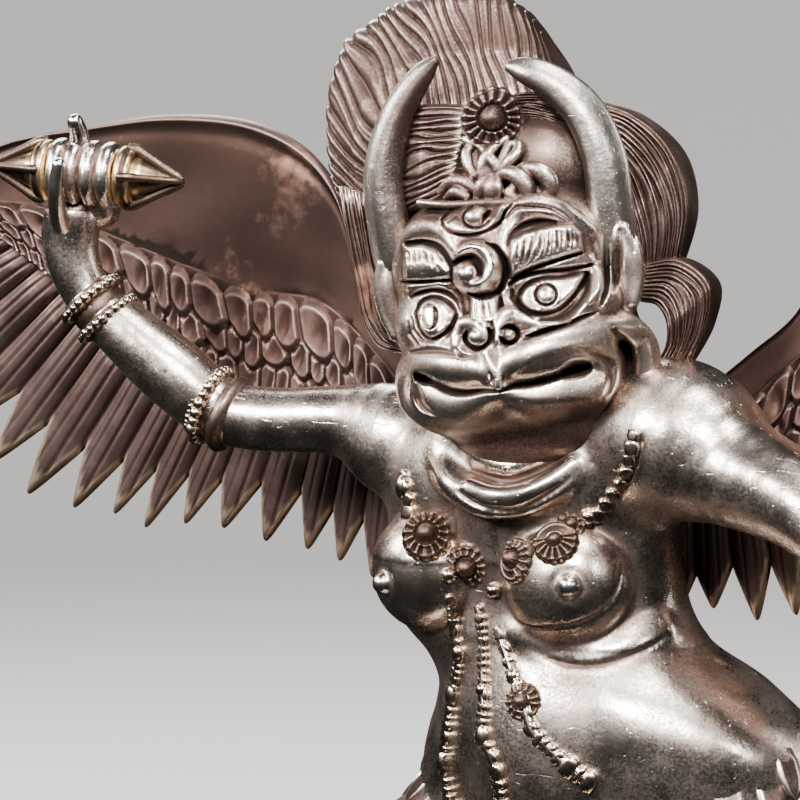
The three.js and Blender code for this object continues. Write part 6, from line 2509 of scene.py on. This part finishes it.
@dataclass(frozen=True)
class Finish:
    """A cast metal's finish: bright where it is rubbed, brown where it isn't, black in hollows as
    tarnish and painted shade.
    """

    name: str
    bright: tuple[float, float, float] = (0.80, 0.67, 0.575)
    dull: tuple[float, float, float] = (0.17, 0.11, 0.088)
    # near-black colour of the hollows, partly tarnish and partly painted shade
    grime: tuple[float, float, float] = (0.022, 0.015, 0.012)
    edge: tuple[float, float, float] = (0.90, 0.86, 0.80)
    copper: tuple[float, float, float] = (0.40, 0.22, 0.16)
    bias: float = 0.3
    spread: float = 70.0
    speckle: float = 1.0
    stain: float = 0.35
    smooth: float = 0.23
    rough: float = 0.45
    grain: float = 1.0
    pits: float = 1.0
    scratches: float = 1.0
    bump: float = 0.00012

    def make(self, effects: SharedEffects) -> bpy.types.Material:
        """The finish as a material.

        Args:
            effects: the shared groups.

        Returns:
            The material.
        """
        material = bpy.data.materials.new(self.name)
        material.use_nodes = True
        s = Shader(material.node_tree)
        metal = s.tree.nodes["Principled BSDF"]
        metal.inputs["Metallic"].default_value = 1.0
        place = s.node("ShaderNodeTexCoord").outputs["Object"]
        fine = s.node("ShaderNodeAttribute", {"attribute_name": "fine"}).outputs["Fac"]
        broad = s.node("ShaderNodeAttribute", {"attribute_name": "broad"}).outputs["Fac"]
        rub = effects.use(s, effects.rub, Place=place, Fine=fine, Broad=broad, Bias=self.bias,
                          Scale=self.spread, Speckle=self.speckle)
        cast = effects.use(s, effects.cast, Place=place, Grain=self.grain, Pits=self.pits,
                           Scratches=self.scratches)
        stain = effects.use(s, effects.stain, Place=place, Amount=self.stain)
        brown = s.mix(stain.outputs["Stain"], (*self.dull, 1), (*self.copper, 1))
        colour = s.mix(rub.outputs["Bright"], brown, (*self.bright, 1))
        colour = s.mix(s.math("MULTIPLY", stain.outputs["Stain"], 0.35), colour, (*self.copper, 1))
        colour = s.mix(rub.outputs["Edge"], colour, (*self.edge, 1))
        # hollows take the near-black colour, partly tarnish and partly painted shade; the pits are real
        dark = s.math("MAXIMUM", rub.outputs["Grime"], s.math("MULTIPLY", cast.outputs["Pitted"], 0.4))
        s.feed(metal, "Base Color", s.mix(dark, colour, (*self.grime, 1)))
        worn = s.math("MAXIMUM", rub.outputs["Bright"], rub.outputs["Edge"])
        gloss = s.ramp(worn, 0.0, 1.0, self.rough, self.smooth)
        fog = s.math("MULTIPLY", s.math("SUBTRACT", s.noise(place, 160.0, 4.0), 0.5), 0.22)
        gloss = s.math("ADD", s.math("ADD", gloss, fog), s.math("MULTIPLY", dark, 0.3), clamp=True)
        s.feed(metal, "Roughness", gloss)
        bump = s.node("ShaderNodeBump", Height=cast.outputs["Height"], Strength=1.0, Distance=self.bump)
        s.feed(metal, "Normal", bump.outputs[0])
        return material


@dataclass
class Finishes:
    """All the finishes of the work."""

    effects: SharedEffects
    made: dict = field(default_factory=dict)
    kinds: tuple = (
        Finish("silvered_bronze"),
        Finish("silvered_face", bias=-0.05, stain=0.3, edge=(0.90, 0.84, 0.77), speckle=1.4,
               smooth=0.29),
        Finish("silvered_horn", bias=-0.15, grain=2.0, smooth=0.34, bright=(0.34, 0.285, 0.25),
               dull=(0.10, 0.07, 0.058), edge=(0.66, 0.59, 0.53), speckle=1.5),
        Finish("rubbed_hair", bias=-0.7, bright=(0.29, 0.21, 0.175), dull=(0.075, 0.045, 0.036),
               edge=(0.62, 0.51, 0.44), stain=0.4, smooth=0.32, rough=0.5),
        Finish("gilded_bronze", bias=-0.8, bright=(0.38, 0.30, 0.24), edge=(0.76, 0.61, 0.45),
               dull=(0.12, 0.078, 0.06), stain=0.3),
        Finish("brown_bronze", bias=-0.35, bright=(0.19, 0.125, 0.108), dull=(0.072, 0.040, 0.032),
               edge=(0.66, 0.48, 0.34), smooth=0.44, rough=0.58, stain=0.4, spread=40.0, speckle=0.25,
               scratches=0.2, pits=0.3),
        Finish("brassy_bronze", bias=-1.4, bright=(0.19, 0.13, 0.085), edge=(0.76, 0.53, 0.29),
               dull=(0.07, 0.045, 0.034), smooth=0.32, rough=0.5),
        Finish("plinth_bronze", bias=-0.3, bright=(0.34, 0.27, 0.24), dull=(0.15, 0.105, 0.088),
               edge=(0.62, 0.50, 0.38), smooth=0.38, rough=0.55, speckle=0.5),
    )

    def __getitem__(self, name: str) -> bpy.types.Material:
        """A finish by its name, made when it is first used."""
        if name not in self.made:
            kind = next(kind for kind in self.kinds if kind.name == name)
            self.made[name] = kind.make(self.effects)
        return self.made[name]


# The studio.


@dataclass
class Studio:
    """A plain pale floor that curves up all round, soft lights and the camera."""

    paper: tuple[float, float, float] = (0.62, 0.61, 0.60)
    sky: float = 0.012
    flat: float = 1.3  # how far the floor is level
    bend: float = 1.1
    tall: float = 3.2

    def build(self) -> None:
        """Builds all of it."""
        self.ground()
        self.lights()
        self.camera()

    def ground(self) -> None:
        """The floor, with a soft curve up all round, which the metal doesn't mirror."""
        angles = np.linspace(0, math.pi / 2, 14)
        profile = [(0.02, 0.0), (0.5, 0.0)]
        profile += [(self.flat + self.bend * math.sin(a),
                     self.bend * (1 - math.cos(a))) for a in angles]
        profile.append((self.flat + self.bend, self.tall))
        turns = np.linspace(0, 2 * math.pi, 96, endpoint=False)
        rings = [[(r * math.cos(a), r * math.sin(a), z) for a in turns] for r, z in profile]
        points = np.array(rings).reshape(-1, 3) / MM
        faces = grid_faces(len(profile), len(turns), False)
        disc_faces = grid_faces(2, len(turns), True)[: len(turns) // 2 - 1]
        thing = object_of("floor", mesh_of("floor", points, [faces[:, ::-1], disc_faces[:, ::-1]]))
        material = bpy.data.materials.new("pale_paper")
        material.use_nodes = True
        s = Shader(material.node_tree)
        paper = s.tree.nodes["Principled BSDF"]
        tint = s.noise(s.node("ShaderNodeTexCoord").outputs["Object"], 3.0, 3.0)
        s.feed(paper, "Base Color", s.mix(tint, (*self.paper, 1), (*(0.97 * c for c in self.paper), 1)))
        paper.inputs["Roughness"].default_value = 0.85
        thing.data.materials.append(material)
        thing.visible_glossy = False

    def lights(self) -> None:
        """Soft boxes over the front, at both sides and behind, and a wash for the paper alone."""
        world = bpy.data.worlds.new("studio")
        bpy.context.scene.world = world
        world.use_nodes = True
        world.node_tree.nodes["Background"].inputs["Color"].default_value = (self.sky,) * 3 + (1,)
        aim = Vector(tuple((SIGHT.target + STANDING) * MM))
        # place to the right, towards the eye and up, size, power and whether the metal mirrors it
        frame_axes = [Vector(tuple(v)) for v in (SIGHT.right, SIGHT.back, SIGHT.up)]
        for name, place, size, power, mirrored in (
            ("key", (-0.02, 0.58, 0.34), (0.20, 0.12), 9.5, True),
            ("above", (0.12, 0.26, 0.60), (0.24, 0.16), 5.0, True),
            ("front", (0.42, 0.62, 0.24), (0.08, 0.14), 1.0, True),
            ("left", (-0.50, 0.40, 0.30), (0.20, 0.18), 9.5, True),
            ("far_left", (-0.62, -0.02, 0.34), (0.18, 0.22), 4.5, True),
            ("right", (0.64, -0.06, 0.20), (0.08, 0.46), 1.3, True),
            ("behind", (-0.20, -0.55, 0.55), (0.50, 0.30), 6.0, True),
            ("wash", (0.0, 0.1, 2.2), (2.2, 2.2), 60.0, False),
        ):
            light = bpy.data.lights.new(name, "AREA")
            light.shape = "RECTANGLE"
            light.size, light.size_y = size
            light.energy = power
            thing = object_of(name, light)
            spot = aim + sum((axis * part for axis, part in zip(frame_axes, place)), Vector())
            thing.location = spot
            thing.rotation_euler = (aim - spot).to_track_quat("-Z", "Y").to_euler()
            thing.visible_glossy = mirrored

    def camera(self) -> None:
        """The camera at the photograph's angle."""
        lens = bpy.data.cameras.new("camera")
        thing = object_of("camera", lens)
        turn = Matrix([tuple(SIGHT.right), tuple(SIGHT.up), tuple(SIGHT.back)]).transposed().to_4x4()
        turn.translation = Vector(tuple((SIGHT.eye + STANDING) * MM))
        thing.matrix_world = turn
        lens.sensor_width = SIGHT.film
        lens.lens = SIGHT.film * SIGHT.away / (2 * SIGHT.middle * SIGHT.grain)
        lens.clip_start = 0.01
        bpy.context.scene.camera = thing


def finish_piece(thing: Thing, material: bpy.types.Material, slot: str, *nodes: str) -> None:
    """Gives a piece its finish and its place in the frame.

    Args:
        thing: the piece.
        material: its finish.
        slot: not used.
        nodes: the nodes that it stands for.
    """
    thing.data.materials.clear()
    thing.data.materials.append(material)
    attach(thing, "root")
    if nodes:
        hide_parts(*nodes)
    LOG.info("%s: %d faces", thing.name, len(thing.data.polygons))


def main() -> None:
    """Builds every piece in order."""
    logging.basicConfig(level=logging.INFO, format="%(message)s")
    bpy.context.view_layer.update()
    finishes = Finishes(SharedEffects())
    smalls, setter, row = Smalls(), Setter(), PathRow()
    body = Body()
    clay = body.clay()
    plumes = Plumes(setter, smalls).build(clay)
    necklace = Necklace(setter, smalls).build(clay)
    trunk = clay_mesh("figure_body", clay, body.most)
    head = Head()
    face = head.build(head.clay())
    finish_piece(trunk, finishes["silvered_bronze"], "silvered_bronze", "figure")
    finish_piece(plumes, finishes["rubbed_hair"], "silvered_bronze")
    finish_piece(necklace, finishes["gilded_bronze"], "silvered_bronze")
    finish_piece(face, finishes["silvered_face"], "silvered_bronze")
    finish_piece(Horns(head).build(), finishes["silvered_horn"], "silvered_bronze")
    finish_piece(Hair(head).build(), finishes["rubbed_hair"], "silvered_bronze")
    finish_piece(head.rosette(), finishes["rubbed_hair"], "silvered_bronze")
    for hand in Hands().build():
        finish_piece(hand, finishes["silvered_bronze"], "silvered_bronze")
    finish_piece(Bands(row, smalls).build(), finishes["gilded_bronze"], "silvered_bronze")
    for side in (-1, 1):
        wing = Wing(side)
        finish_piece(wing.build(), finishes["brown_bronze"], "brown_bronze", wing.name)
    finish_piece(Thunderbolt().build(), finishes["brassy_bronze"], "brassy_bronze", "vajra")
    finish_piece(Plinth(setter, row, smalls).build(), finishes["plinth_bronze"], "plinth_bronze",
                 "plinth")
    smalls.clear()
    Studio().build()


if __name__ == "__main__":
    main()
